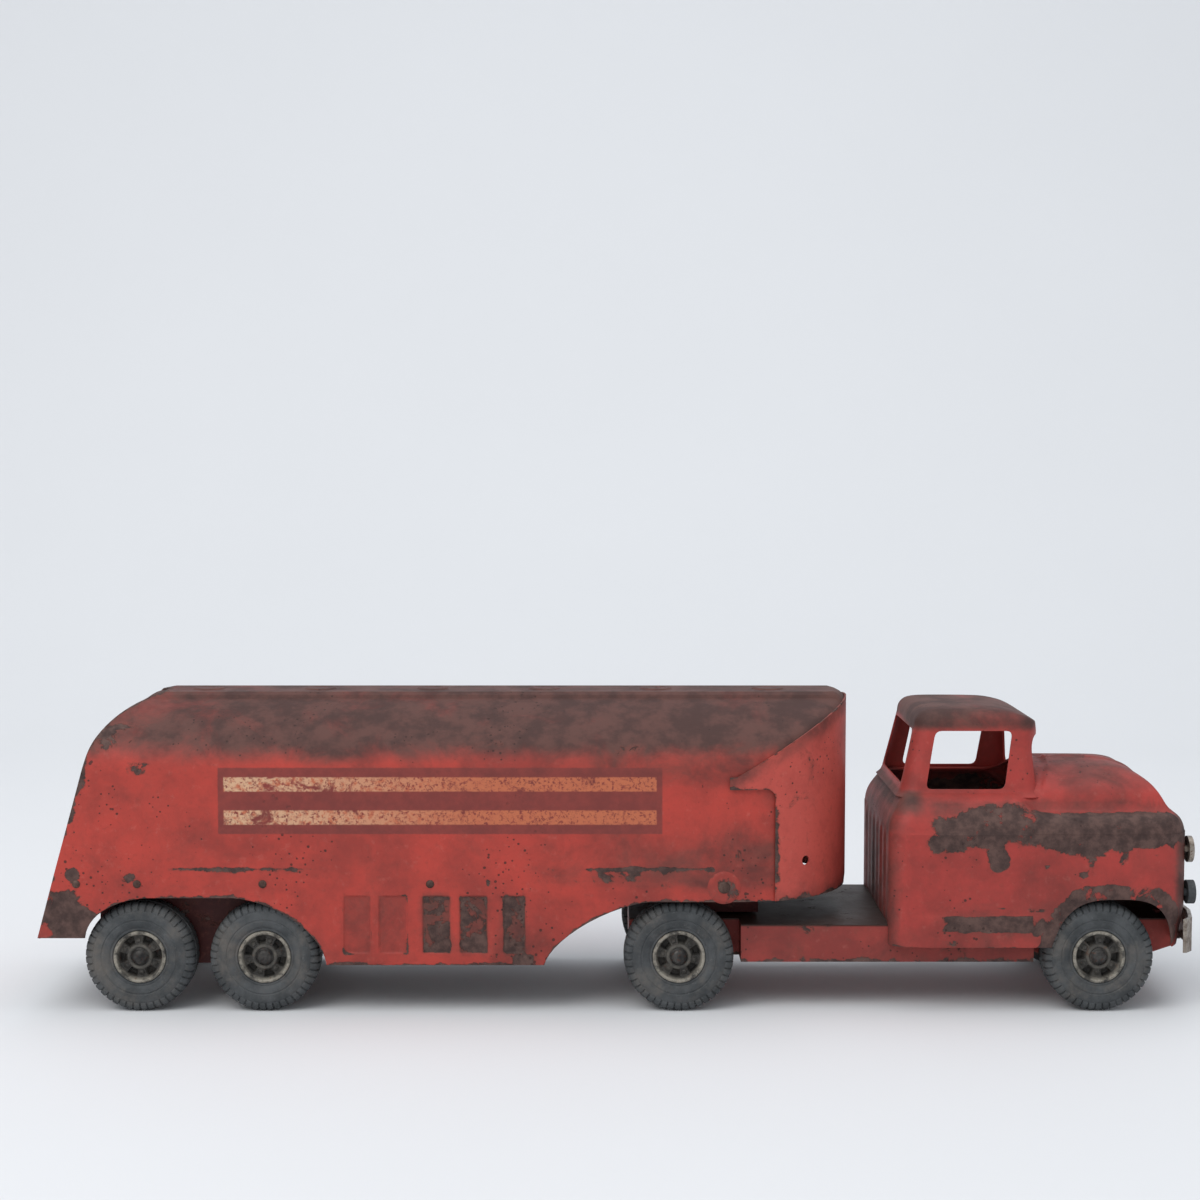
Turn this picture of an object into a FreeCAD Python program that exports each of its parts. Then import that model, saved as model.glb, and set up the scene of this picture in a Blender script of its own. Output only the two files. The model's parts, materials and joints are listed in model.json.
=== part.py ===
import FreeCAD, Part
import math
import os
import re
import Sketcher
from FreeCAD import Rotation, Vector

# A pressed-steel toy tanker lorry: a two-axle tractor and a tandem-axle tank trailer that
# swings on an upright kingpin. The row frame stands on the floor under the middle of the
# whole lorry, with +X to the tractor's nose, +Y to its left side and +Z up.
SIZES = {
    # whole lorry, measured fore and aft of the kingpin
    "tail_reach": (368, "kingpin to the tank's lower rear corner"),
    "front_reach": (245.5, "kingpin to the face of the bumper"),
    "sheet": (0.9, "thickness of the pressed tank sheets"),
    "plate": (1.2, "thickness of frame, bracket and bridge plate"),
    # tank trailer
    "tank_half": (62.5, "half width of the tank and radius of its round nose"),
    "arch_base": (127, "height where the flat sides meet the arched roof"),
    "arch_rise": (37, "rise of the arched roof"),
    "arch_side": (24, "radius of the bend where the arch leaves the sides"),
    "tail_low": (40, "height of the tail's lower edge"),
    "tail_lean": (27, "forward lean of the tail up to its knee"),
    "tail_knee": (137, "height where the tail starts to round over"),
    "tail_round": (38, "radius of the tail's round top"),
    "bogie_top": (61.5, "height of the wheel opening over the tandem axles"),
    "bogie_rear": (343, "kingpin back to the rear end of that opening"),
    "bogie_front": (216, "kingpin back to the front end of that opening"),
    "skirt_low": (25.5, "height of the deep skirt"),
    "skirt_front": (101, "kingpin back to the front end of the deep skirt"),
    "skirt_round": (50, "radius of the sweep in front of the deep skirt"),
    "nose_low": (59.4, "height of the skirt over the tractor's rear wheels"),
    "ridge_half": (18, "half width of the raised walkway on the roof"),
    "ridge_rise": (1.2, "height of the walkway above the roof"),
    "hatch_radius": (9, "radius of each pressed hatch cover"),
    "hatch_rise": (0.7, "height of a hatch cover above the walkway"),
    "hatch_pitch": (61.5, "spacing of the hatch covers"),
    "hatch_lead": (20.5, "kingpin forward to the foremost hatch cover"),
    "panel_low": (31.5, "lower edge of the pressed skirt panels"),
    "panel_high": (63, "upper edge of the pressed skirt panels"),
    "panel_deep": (0.4, "depth of the pressed skirt panels"),
    "wrap_end": (22, "kingpin forward to the end of the side sheet round the nose"),
    "tab_low": (119, "lower edge of the nose panel's rear tabs"),
    "tab_reach": (3.7, "kingpin back to the tips of those tabs"),
    "seam_gap": (0.5, "open seam between the roof sheet and the nose panel"),
    "nose_hole": (2.5, "radius of the hole in each side of the nose panel"),
    "nose_hole_up": (79.6, "height of that hole"),
    "nose_hole_turn": (36, "degrees from the side round to that hole"),
    # coupling
    "kingpin_radius": (3, "radius of the kingpin"),
    "bridge_low": (46.2, "underside of the bridge where it rests on the tractor"),
    "bridge_high": (62, "underside of the bridge over the wheels"),
    "bridge_half": (26, "half width of the sunk middle of the bridge"),
    "bridge_back": (24, "kingpin back to the rear edge of the bridge"),
    "bridge_ahead": (14, "kingpin forward to the front edge of the bridge"),
    "screw_up": (67.3, "height of the side screws in the bridge"),
    "screw_back": (6.5, "kingpin back to the side screws"),
    "screw_radius": (1.6, "radius of the side screws"),
    "screw_length": (6, "length of the side screws under their heads"),
    "rivet_radius": (1.4, "radius of the rivets"),
    "rivet_up": (69, "height of the rivet line along the trailer"),
    "rivet_head": (0.8, "height of a rivet head"),
    "brace_back": (161, "kingpin back to the cross brace"),
    # wheels and axles
    "tyre_radius": (29.2, "radius of the tyres"),
    "tyre_width": (20, "width of the tyres"),
    "wheel_face": (60, "centre plane out to the tyres' outer faces"),
    "rim_radius": (13, "radius of the hub where the tyre is seated"),
    "axle_radius": (2.4, "radius of the axles"),
    "nut_height": (2, "height of an axle nut"),
    "nut_wall": (1.3, "wall of an axle nut outside its axle"),
    "play": (0.05, "running clearance of hubs on axles and of the kingpin"),
    "side_play": (0.3, "clearance between a turning part and its neighbour"),
    "bogie_axle_rear": (315, "kingpin back to the rear trailer axle"),
    "bogie_axle_front": (249, "kingpin back to the front trailer axle"),
    "drive_axle": (30, "kingpin back to the tractor's rear axle"),
    "steer_axle": (192, "kingpin forward to the front axle"),
    # tractor frame
    "deck_high": (45, "top of the frame"),
    "frame_low": (25, "lower edge of the frame"),
    "frame_half": (52, "half width of the frame between the wheels"),
    "frame_waist": (36, "half width of the frame beside the wheels"),
    "frame_back": (56, "kingpin back to the rear end of the frame"),
    "wheel_gap": (4, "gap fore and aft between a tyre and the wide frame"),
    "front_gap": (7.5, "gap from the frame's front end to the bumper's face"),
    # cab
    "cab_sheet": (1, "thickness of the cab shell"),
    "cab_back": (81, "kingpin forward to the back of the cab"),
    "cab_front": (239.5, "kingpin forward to the front of the cab"),
    "cab_half": (62, "half width of the cab over doors and wings"),
    "cab_low": (35, "lower edge of the cab"),
    "door_high": (100, "height where the door starts to curve in"),
    "sill_high": (115, "height of the window sills"),
    "sill_half": (46, "half width of the cab at the sills"),
    "roof_half": (39, "half width of the roof"),
    "roof_high": (159.5, "height of the roof"),
    "window_high": (148, "top edge of the windows"),
    "hood_high": (127.5, "height of the bonnet"),
    "hood_half": (50, "half width of the bonnet where it meets the wings"),
    "opening_high": (60.5, "height of the front wheel opening"),
    "opening_lag": (1, "steering axle back to the middle of that opening"),
    "opening_half": (39, "half length of that opening at its foot"),
    "opening_shoulder": (31, "half length of that opening at its shoulders"),
    "shoulder_drop": (10, "drop from the top of that opening to its shoulders"),
    "opening_flat": (15, "half length of that opening's flat top"),
    "opening_round": (26, "radius between its shoulders and its flat top"),
    "lamp_radius": (7, "radius of the headlamps"),
    "lamp_up": (85, "height of the headlamps"),
    "lamp_out": (48, "centre plane out to the headlamps and guards"),
    "guard_radius": (6.3, "radius of the round bumper guards"),
    "guard_up": (62, "height of the bumper guards"),
    "grille_half": (34, "half width of the grille"),
    "grille_low": (67, "lower edge of the grille"),
    "grille_high": (98, "upper edge of the grille"),
    "bumper_low": (32, "lower edge of the bumper"),
    "bumper_high": (50, "upper edge of the bumper"),
    "bumper_half": (61, "half width of the bumper"),
    "bumper_plate": (2, "thickness of the bumper bar"),
}
# Each pressed skirt panel: how far behind the kingpin it starts, and its length.
PANELS = ((207, 15), (188.5, 15.5), (165.5, 15.5), (146, 15.5), (123, 12.5))
HATCHES = 6
HUB_HOLES = 6
GRILLE_BARS = 5
BEYOND = 12  # how far a cutter runs past what it cuts
TAB_HALF = 5  # half width of a riveted tab
SIDES = {"right": -1, "left": 1}
PIN = "(tail_reach - front_reach) / 2"

doc = FreeCAD.newDocument("TankerLorry")
sizes = doc.addObject("Spreadsheet::Sheet", "Sizes")
for row, (name, (size, meaning)) in enumerate(SIZES.items(), 1):
    sizes.set(f"A{row}", name)
    sizes.set(f"B{row}", str(size))
    sizes.set(f"C{row}", meaning)
    sizes.setAlias(f"B{row}", name)
doc.recompute()


def bind(text):
    """Point every size named in an expression at the sheet."""
    return re.sub(r"[a-z_]+", lambda word: "Sizes." + word[0] if word[0] in SIZES else word[0], str(text))


def value(text):
    """The present value of an expression."""
    return float(sizes.evalExpression(bind(text)))


def place(item, x=0, y=0, z=0):
    """Tie an object's position to the sheet."""
    for axis, text in zip("xyz", (x, y, z)):
        item.setExpression(f"Placement.Base.{axis}", bind(text))
    return item


def block(name, x, y, z):
    """A box between a low and a high value on each axis."""
    box = doc.addObject("Part::Box", name)
    for side, (low, high) in zip(("Length", "Width", "Height"), (x, y, z)):
        box.setExpression(side, bind(f"({high}) - ({low})"))
    return place(box, x[0], y[0], z[0])


def rod(name, radius, length, axis, x, y, z):
    """A cylinder of one length that starts at a point and runs along +X, +Y or +Z."""
    turn = {"X": Rotation(Vector(0, 1, 0), 90), "Y": Rotation(Vector(1, 0, 0), -90), "Z": Rotation()}
    cylinder = doc.addObject("Part::Cylinder", name)
    cylinder.setExpression("Radius", bind(radius))
    cylinder.setExpression("Height", bind(length))
    cylinder.Placement.Rotation = turn[axis]
    return place(cylinder, x, y, z)


def fuse(name, *parts):
    joined = doc.addObject("Part::MultiFuse", name)
    joined.Shapes = list(parts)
    return joined


def common(name, *parts):
    shared = doc.addObject("Part::MultiCommon", name)
    shared.Shapes = list(parts)
    return shared


def group(name, *parts):
    """Separate solids that share one node."""
    items = doc.addObject("Part::Compound", name)
    items.Links = list(parts)
    return items


def cut(name, base, *tools):
    remains = doc.addObject("Part::Cut", name)
    remains.Base = base
    remains.Tool = tools[0] if len(tools) == 1 else fuse(name + "_cutters", *tools)
    return remains


def outline(sketch, corners):
    """Draw a closed outline. A corner is (x, y), or (x, y, radius, side) where an arc leaves it."""
    points = [Vector(value(corner[0]), value(corner[1]), 0) for corner in corners]
    following = points[1:] + points[:1]
    ends = []
    for corner, start, finish in zip(corners, points, following):
        if len(corner) == 2:
            sketch.addGeometry(Part.LineSegment(start, finish), False)
            ends.append((1, 2))
            continue
        chord = finish - start
        radius, side = value(corner[2]), corner[3]
        across = Vector(-chord.y, chord.x, 0).normalize() * side
        rise = radius - math.sqrt(radius ** 2 - chord.Length ** 2 / 4)
        middle = (start + finish) / 2 + across * rise
        sketch.addGeometry(Part.Arc(start, middle, finish), False)
        ends.append((1, 2) if side < 0 else (2, 1))
    for index, (corner, point) in enumerate(zip(corners, points)):
        first, last = ends[index]
        after = (index + 1) % len(corners)
        sketch.addConstraint(Sketcher.Constraint("Coincident", index, last, after, ends[after][0]))
        for kind, text, size in (("DistanceX", corner[0], point.x), ("DistanceY", corner[1], point.y)):
            number = sketch.addConstraint(Sketcher.Constraint(kind, -1, 1, index, first, size))
            sketch.setExpression(f"Constraints[{number}]", bind(text))
        if len(corner) > 2:
            number = sketch.addConstraint(Sketcher.Constraint("Radius", index, value(corner[2])))
            sketch.setExpression(f"Constraints[{number}]", bind(corner[2]))


def new_sketch(body, name, plane):
    sketch = body.newObject("Sketcher::SketchObject", name)
    sketch.AttachmentSupport = next(f for f in body.Origin.OriginFeatures if f.Role == plane)
    sketch.MapMode = "FlatFace"
    return sketch


def prism(name, plane, corners, length, start=None):
    """An outline padded from a start along the plane's normal, or evenly both ways without one."""
    body = doc.addObject("PartDesign::Body", name)
    sketch = new_sketch(body, name + "_outline", plane)
    outline(sketch, corners)
    pad = body.newObject("PartDesign::Pad", name + "_pad")
    pad.Profile = sketch
    pad.setExpression("Length", bind(length))
    if start is None:
        pad.Midplane = True
    elif plane == "YZ_Plane":
        place(body, x=start)
    else:
        place(body, z=start)
    return body


def turned(name, corners, x, y, z, side):
    """An outline of (radius, outward) corners turned about a Y axis through a point."""
    body = doc.addObject("PartDesign::Body", name)
    sketch = new_sketch(body, name + "_outline", "XY_Plane")
    outline(sketch, [(radius, f"{side} * ({out})") for radius, out in corners])
    turning = body.newObject("PartDesign::Revolution", name + "_turning")
    turning.Profile = sketch
    turning.ReferenceAxis = (sketch, ["V_Axis"])
    turning.Angle = 360
    return place(body, x, y, z)


def mirrored(corners):
    """Complete the right half of a symmetric outline, listed from bottom to top, with its left half."""
    left = [(f"-({across})", up) for across, up in reversed(corners)]
    return corners + left


NODES = []


def node(name, item):
    """Name a finished sub-part."""
    item.Label = name
    NODES.append(item)
    return item


# ---- wheels -------------------------------------------------------------------------------
TYRE_OUTLINE = [
    ("rim_radius", "-tyre_width / 2 + 1.5"),
    ("rim_radius + 3", "-tyre_width / 2 + 0.5"),
    ("tyre_radius - 4.2", "-tyre_width / 2"),
    ("tyre_radius - 0.6", "-tyre_width / 2 + 1.5"),
    ("tyre_radius", "-tyre_width / 2 + 4"),
    ("tyre_radius", "tyre_width / 2 - 4"),
    ("tyre_radius - 0.6", "tyre_width / 2 - 1.5"),
    ("tyre_radius - 4.2", "tyre_width / 2"),
    ("rim_radius + 3", "tyre_width / 2 - 0.5"),
    ("rim_radius", "tyre_width / 2 - 1.5"),
]
HUB_OUTLINE = [
    ("axle_radius + play", "-tyre_width / 2 + 1"),
    ("axle_radius + 2.8", "-tyre_width / 2 + 1"),
    ("axle_radius + 2.8", "tyre_width / 2 - 8"),
    ("rim_radius - 1.4", "tyre_width / 2 - 8"),
    ("rim_radius - 1.4", "-tyre_width / 2 + 1.5"),
    ("rim_radius", "-tyre_width / 2 + 1.5"),
    ("rim_radius", "tyre_width / 2 - 1.5"),
    ("rim_radius - 1.4", "tyre_width / 2 - 1.5"),
    ("rim_radius - 1.4", "tyre_width / 2 - 6"),
    ("axle_radius + 2.8", "tyre_width / 2 - 6"),
    ("axle_radius + 2.8", "tyre_width / 2 - 3"),
    ("axle_radius + play", "tyre_width / 2 - 3"),
]
NUT_START = "wheel_face - 3 + side_play"


def pierced_hub(name, x, y, side):
    """A dished hub with a ring of round holes through its disc."""
    hub = turned(name, HUB_OUTLINE, x, y, "tyre_radius", side)
    sketch = new_sketch(hub, name + "_hole", "XZ_Plane")
    sketch.addGeometry(Part.Circle(Vector(value("rim_radius - 4.6"), 0, 0), Vector(0, 0, 1), 1.7), False)
    middle = sketch.addConstraint(Sketcher.Constraint("DistanceX", -1, 1, 0, 3, value("rim_radius - 4.6")))
    sketch.setExpression(f"Constraints[{middle}]", bind("rim_radius - 4.6"))
    sketch.addConstraint(Sketcher.Constraint("PointOnObject", 0, 3, -1))
    width = sketch.addConstraint(Sketcher.Constraint("Radius", 0, 1.7))
    sketch.setExpression(f"Constraints[{width}]", bind("(rim_radius - axle_radius - 4.2) * 0.26"))
    hole = hub.newObject("PartDesign::Pocket", name + "_pocket")
    hole.Profile = sketch
    hole.Type = 1
    hole.Midplane = True
    doc.recompute()
    pattern = hub.newObject("PartDesign::PolarPattern", name + "_pattern")
    pattern.Originals = [hole]
    pattern.Axis = (next(f for f in hub.Origin.OriginFeatures if f.Role == "Y_Axis"), [""])
    pattern.Angle = 360
    pattern.Occurrences = HUB_HOLES
    hub.Tip = pattern
    return hub


AXLES = {
    "front": f"{PIN} + steer_axle",
    "drive": f"{PIN} - drive_axle",
    "trailer_front": f"{PIN} - bogie_axle_front",
    "trailer_rear": f"{PIN} - bogie_axle_rear",
}
axles = {}
nuts = {"tractor": [], "trailer": []}
for axle, x in AXLES.items():
    spindle = rod(axle + "_spindle", "axle_radius", "2 * (wheel_face - 0.6)", "Y", x,
                  "-(wheel_face - 0.6)", "tyre_radius")
    axles[axle] = node(axle + "_axle", spindle)
    for hand, side in SIDES.items():
        middle = f"{side} * (wheel_face - tyre_width / 2)"
        rubber = turned(f"{axle}_{hand}_rubber", TYRE_OUTLINE, x, middle, "tyre_radius", side)
        node(f"{axle}_tyre_{hand}", rubber)
        node(f"{axle}_hub_{hand}", pierced_hub(f"{axle}_{hand}_disc", x, middle, side))
        start = NUT_START if side > 0 else f"-({NUT_START}) - nut_height"
        blank = rod(f"{axle}_{hand}_nut_blank", "axle_radius + nut_wall", "nut_height", "Y", x, start,
                    "tyre_radius")
        trailer = axle.startswith("trailer")
        nuts["trailer" if trailer else "tractor"].append(cut(f"{axle}_{hand}_nut", blank, spindle))
for half, pieces in nuts.items():
    node(half + "_axle_nuts", group(half + "_nuts", *pieces))

# ---- tractor frame ------------------------------------------------------------------------
BEHIND_WIDE = "-drive_axle + tyre_radius + wheel_gap"
AHEAD_WIDE = "steer_axle - tyre_radius - wheel_gap"
FRAME_END = "front_reach - front_gap"


def frame_outline(inset):
    """The frame seen from above: wide between the axles and waisted beside the wheels."""
    half = [
        (f"{PIN} - frame_back + {inset}", f"-frame_waist + {inset}"),
        (f"{PIN} + {BEHIND_WIDE} + {inset}", f"-frame_waist + {inset}"),
        (f"{PIN} + {BEHIND_WIDE} + {inset}", f"-frame_half + {inset}"),
        (f"{PIN} + {AHEAD_WIDE} - {inset}", f"-frame_half + {inset}"),
        (f"{PIN} + {AHEAD_WIDE} - {inset}", f"-frame_waist + {inset}"),
        (f"{PIN} + {FRAME_END} - {inset}", f"-frame_waist + {inset}"),
    ]
    return half + [(x, f"-({y})") for x, y in reversed(half)]


frame_blank = prism("frame_blank", "XY_Plane", frame_outline("0"), "deck_high - frame_low", "frame_low")
frame_hollow = prism("frame_hollow", "XY_Plane", frame_outline("plate"), "deck_high - plate", "0")
frame_rake = prism("frame_rake", "XZ_Plane", [
    (f"{PIN} + steer_axle + tyre_radius", "frame_low - 1"),
    (f"{PIN} + {FRAME_END} + 1", "frame_low - 1"),
    (f"{PIN} + {FRAME_END} + 1", "frame_low + 6"),
    (f"{PIN} + steer_axle + tyre_radius", "frame_low"),
], f"2 * (frame_half + {BEYOND})")

kingpin_hole = rod("kingpin_hole", "kingpin_radius + play", "20", "Z", PIN, "0", "deck_high - 10")


def rivet(name, axis, x, y, z, grip, flip=1):
    """A shank through two sheets with a wider head on its outer end."""
    if axis == "Z":
        shank = rod(name + "_shank", "rivet_radius", grip, "Z", x, y, f"{z} - ({grip})")
        head = rod(name + "_head", "rivet_radius * 1.7", "rivet_head", "Z", x, y, z)
        return fuse(name, shank, head)
    inner = f"{y} - ({grip})" if flip > 0 else f"-({y})"
    outer = y if flip > 0 else f"-({y}) - rivet_head"
    shank = rod(name + "_shank", "rivet_radius", grip, "Y", x, inner, z)
    head = rod(name + "_head", "rivet_radius * 1.7", "rivet_head", "Y", x, outer, z)
    return fuse(name, shank, head)


REAR_FLANGE = "12"
CAB_GRIP = "cab_sheet + plate"
CAB_RIVETS = [
    (f"{PIN} + cab_back + 7", "0.6 * frame_half"),
    (f"{PIN} + cab_back + 7", "-0.6 * frame_half"),
    (f"{PIN} + {FRAME_END} - 6", "0.6 * frame_waist"),
    (f"{PIN} + {FRAME_END} - 6", "-0.6 * frame_waist"),
]
cab_rivets = node("cab_rivets", group("cab_rivet_set", *[
    rivet(f"cab_rivet_{index}", "Z", x, y, "deck_high + cab_sheet", CAB_GRIP)
    for index, (x, y) in enumerate(CAB_RIVETS)]))
node("tractor_frame", cut("frame_plate", frame_blank, frame_hollow, frame_rake, kingpin_hole, cab_rivets,
                          axles["front"], axles["drive"]))
washer = rod("washer_blank", "kingpin_radius * 3", "bridge_low - deck_high - side_play / 2", "Z", PIN, "0",
             "deck_high")
node("kingpin_washer", cut("washer_ring", washer, kingpin_hole))

# ---- cab ----------------------------------------------------------------------------------
# Each corner also says which way it moves as the wall is taken off for the hollow inside.
CAB_SIDE = [
    ("cab_back", "cab_low", 1, -9),
    ("cab_back", "door_high + 3", 1, 0),
    ("cab_back + 3", "sill_high - 5", 1, -0.5),
    ("cab_back + 8", "sill_high", 1, -1),
    ("cab_back + 16", "roof_high - 9", 1, 0),
    ("cab_back + 23", "roof_high - 1.5", 0.5, -1),
    ("cab_back + 38", "roof_high", 0, -1),
    ("cab_back + 57", "roof_high - 1", 0, -1),
    ("cab_back + 72", "roof_high - 4.5", 0, -1),
    ("cab_back + 83", "roof_high - 12", -2, -1),
    ("cab_back + 80", "roof_high - 17", -1, 0),
    ("cab_back + 86", "hood_high + 1", -1, -1),
    ("cab_front - 34", "hood_high", 0, -1),
    ("cab_front - 18", "hood_high - 4", -0.5, -1),
    ("cab_front - 9", "hood_high - 9.5", -1, -1),
    ("cab_front - 3", "hood_high - 17", -1, -0.5),
    ("cab_front", "hood_high - 25", -1, 0),
    ("cab_front", "opening_high", -1, 0),
    ("cab_front - 4", "cab_low", -1, -9),
]
DOOR_SECTION = [
    ("cab_half", "cab_low", -1, -9),
    ("cab_half", "door_high", -1, 0),
    ("cab_half - 4", "door_high + 7", -1, -0.5),
    ("sill_half", "sill_high", -0.5, -1),
]
WING_SECTION = [
    ("cab_half", "cab_low", -1, -9),
    ("cab_half", "door_high - 1", -1, 0),
    ("cab_half - 4", "door_high + 4.5", -1, -0.8),
    ("hood_half", "hood_high - 20", -1, -0.8),
    ("hood_half - 8", "hood_high - 9.5", -1, -0.5),
    ("hood_half - 22", "hood_high - 2.5", -0.3, -1),
    ("hood_half - 40", "hood_high + 2", 0, -1),
]
ROOF_SECTION = [
    ("sill_half", "door_high", -1, -9),
    ("sill_half", "sill_high", -1, 0),
    ("roof_half + 1.5", "roof_high - 9.5", -1, 0),
    ("roof_half - 3", "roof_high - 2.5", -0.6, -1),
    ("roof_half - 19", "roof_high + 0.5", 0, -1),
]
NOTCH_RUN = 8
CAB_PLAN = [
    ("cab_back", "cab_half - 10", 1, -0.4),
    ("cab_back + 3", "cab_half - 3", 0.8, -0.8),
    ("cab_back + 10", "cab_half", 0.4, -1),
    ("cab_front - 15", "cab_half", -0.4, -1),
    ("cab_front - 6", "cab_half - 5", -0.8, -0.8),
    ("cab_front", "cab_half - 16", -1, -0.4),
]


def inset(corners, wall):
    """Move each corner inwards by its own share of the wall."""
    return [(f"{x} + ({dx}) * {wall}", f"{y} + ({dy}) * {wall}") for x, y, dx, dy in corners]


def ahead(corners):
    return [(f"{PIN} + {x}", y) for x, y in corners]


def cab_form(name, wall):
    """The cab's outer form, or with a wall taken off, the hollow inside it."""
    side = prism(name + "_side", "XZ_Plane", ahead(inset(CAB_SIDE, wall)), f"2 * (cab_half + {BEYOND})")
    half_plan = ahead(inset(CAB_PLAN, wall))
    plan = prism(name + "_plan", "XY_Plane", half_plan + [(x, f"-({y})") for x, y in reversed(half_plan)],
                 f"roof_high + 2 * {BEYOND}", f"-{BEYOND}")
    door = prism(name + "_door", "YZ_Plane", mirrored(inset(DOOR_SECTION, wall)), "90", f"{PIN} + cab_back - 5")
    wing = prism(name + "_wing", "YZ_Plane", mirrored(inset(WING_SECTION, wall)),
                 "cab_front - cab_back - 75", f"{PIN} + cab_back + 80")
    roof = prism(name + "_roof", "YZ_Plane", mirrored(inset(ROOF_SECTION, wall)), "90",
                 f"{PIN} + cab_back - 1")
    return common(name, fuse(name + "_blocks", door, wing, roof), side, plan)


cab_outer = cab_form("cab_outer", "0")
cab_inner = cab_form("cab_inner", "cab_sheet")
OPENING = f"{PIN} + steer_axle - opening_lag"
wheel_opening = prism("wheel_opening", "XZ_Plane", [
    (f"{OPENING} - opening_half", f"cab_low - {BEYOND}"),
    (f"{OPENING} - opening_half", "cab_low"),
    (f"{OPENING} - opening_shoulder", "opening_high - shoulder_drop", "opening_round", 1),
    (f"{OPENING} - opening_flat", "opening_high"),
    (f"{OPENING} + opening_flat", "opening_high", "opening_round", 1),
    (f"{OPENING} + opening_shoulder", "opening_high - shoulder_drop"),
    (f"{OPENING} + opening_half", "cab_low"),
    (f"{OPENING} + opening_half", f"cab_low - {BEYOND}"),
], f"2 * (cab_half + {BEYOND})")
side_windows = prism("side_windows", "XZ_Plane", ahead([
    ("cab_back + 20", "sill_high + 1"),
    ("cab_back + 26", "window_high"),
    ("cab_back + 66", "window_high"),
    ("cab_back + 62", "sill_high + 1"),
]), f"2 * (cab_half + {BEYOND})")
rear_window = prism("rear_window", "YZ_Plane", mirrored([
    ("sill_half - 9", "sill_high + 3"),
    ("roof_half - 7", "window_high"),
]), "36", f"{PIN} + cab_back - 6")
windscreen = prism("windscreen_opening", "YZ_Plane", mirrored([
    ("sill_half - 5", "sill_high + 15"),
    ("roof_half - 3", "window_high - 3"),
]), "35", f"{PIN} + cab_back + 60")
grille_opening = block("grille_opening", (f"{PIN} + cab_front - 5", f"{PIN} + cab_front + 5"),
                       ("-(grille_half - 3)", "grille_half - 3"), ("grille_low + 3", "grille_high - 3"))
rear_flange = block("rear_flange", (f"{PIN} + cab_back + cab_sheet / 2", f"{PIN} + cab_back + {REAR_FLANGE}"),
                    ("-frame_half + 4", "frame_half - 4"), ("deck_high", "deck_high + cab_sheet"))
front_flange = block("front_flange", (f"{PIN} + {FRAME_END} - 10", f"{PIN} + cab_front - cab_sheet"),
                     ("-frame_waist + 2", "frame_waist - 2"),
                     ("deck_high", "deck_high + cab_sheet"))


def stud_lamp(name, radius, up, depth, side):
    """A round cap in front of the wing on a stud that passes through the sheet."""
    y = f"{side} * lamp_out"
    cap = rod(name + "_cap", radius, depth, "X", f"{PIN} + cab_front + 0.5", y, up)
    stud = rod(name + "_stud", "2", "9", "X", f"{PIN} + cab_front - 8.5", y, up)
    return fuse(name, cap, stud)


lamps = []
for hand, side in SIDES.items():
    lamps.append(node(f"headlamp_{hand}", stud_lamp(f"lamp_{hand}", "lamp_radius", "lamp_up", "2.5", side)))
    lamps.append(node(f"bumper_guard_{hand}", stud_lamp(f"guard_{hand}", "guard_radius", "guard_up", "4", side)))
frame_notches = [
    block(f"frame_notch_{end}", (f"{PIN} + {start}", f"{PIN} + {start} + {NOTCH_RUN}"),
          (f"-{half} - side_play", f"{half} + side_play"), ("0", "deck_high"))
    for end, start, half in (("back", "cab_back - 1", "frame_half"),
                             ("front", f"cab_front - {NOTCH_RUN} + 1", "frame_waist"))]
cab_hollow = cut("cab_hollow", cab_outer, cab_inner, wheel_opening, side_windows, rear_window, windscreen,
                 grille_opening, *frame_notches)
node("cab_shell", cut("cab_pressing", fuse("cab_flanged", cab_hollow, rear_flange, front_flange),
                      cab_rivets, *lamps))

BAR_PITCH = f"(grille_high - grille_low - 4) / {GRILLE_BARS}"
grille_plate = block("grille_plate", (f"{PIN} + cab_front", f"{PIN} + cab_front + plate"),
                     ("-grille_half", "grille_half"), ("grille_low", "grille_high"))
grille_slots = [
    block(f"grille_slot_{bar}", (f"{PIN} + cab_front - 1", f"{PIN} + cab_front + plate + 1"),
          ("-grille_half + 4", "grille_half - 4"),
          (f"grille_low + 2 + {bar} * {BAR_PITCH} + 1.5", f"grille_low + 2 + {bar + 1} * {BAR_PITCH} - 1.5"))
    for bar in range(GRILLE_BARS)]
node("grille", cut("grille_pressing", grille_plate, *grille_slots))

bumper_front = [
    ("front_reach", "bumper_half - 23"),
    ("front_reach - 4", "bumper_half - 5"),
    ("front_reach - 8", "bumper_half"),
]
face = ahead(bumper_front)
back = ahead([(f"{x} - bumper_plate", y) for x, y in bumper_front])
bumper_outline = list(reversed(face)) + [(x, f"-({y})") for x, y in face] \
    + [(x, f"-({y})") for x, y in reversed(back)] + back
node("front_bumper", prism("bumper_bar", "XY_Plane", bumper_outline, "bumper_high - bumper_low", "bumper_low"))
brackets = [
    block(f"bumper_bracket_{hand}", (f"{PIN} + {FRAME_END}", f"{PIN} + front_reach - bumper_plate"),
          (f"{side} * 22 - 4", f"{side} * 22 + 4"), ("bumper_low - 0.5", "cab_low - 0.5"))
    for hand, side in SIDES.items()]
node("bumper_brackets", group("bumper_bracket_pair", *brackets))

# ---- tank ---------------------------------------------------------------------------------
ROOF = "(arch_base + arch_rise)"
CROWN = "((tank_half ^ 2 + arch_rise ^ 2 - 2 * tank_half * arch_side) / (2 * (arch_rise - arch_side)))"
PAST_TOP = 0.3
TAIL_TOP_RUN = f"(sqrt(tail_round ^ 2 - (tail_round + tail_knee - {ROOF}) ^ 2) + {PAST_TOP})"


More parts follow.
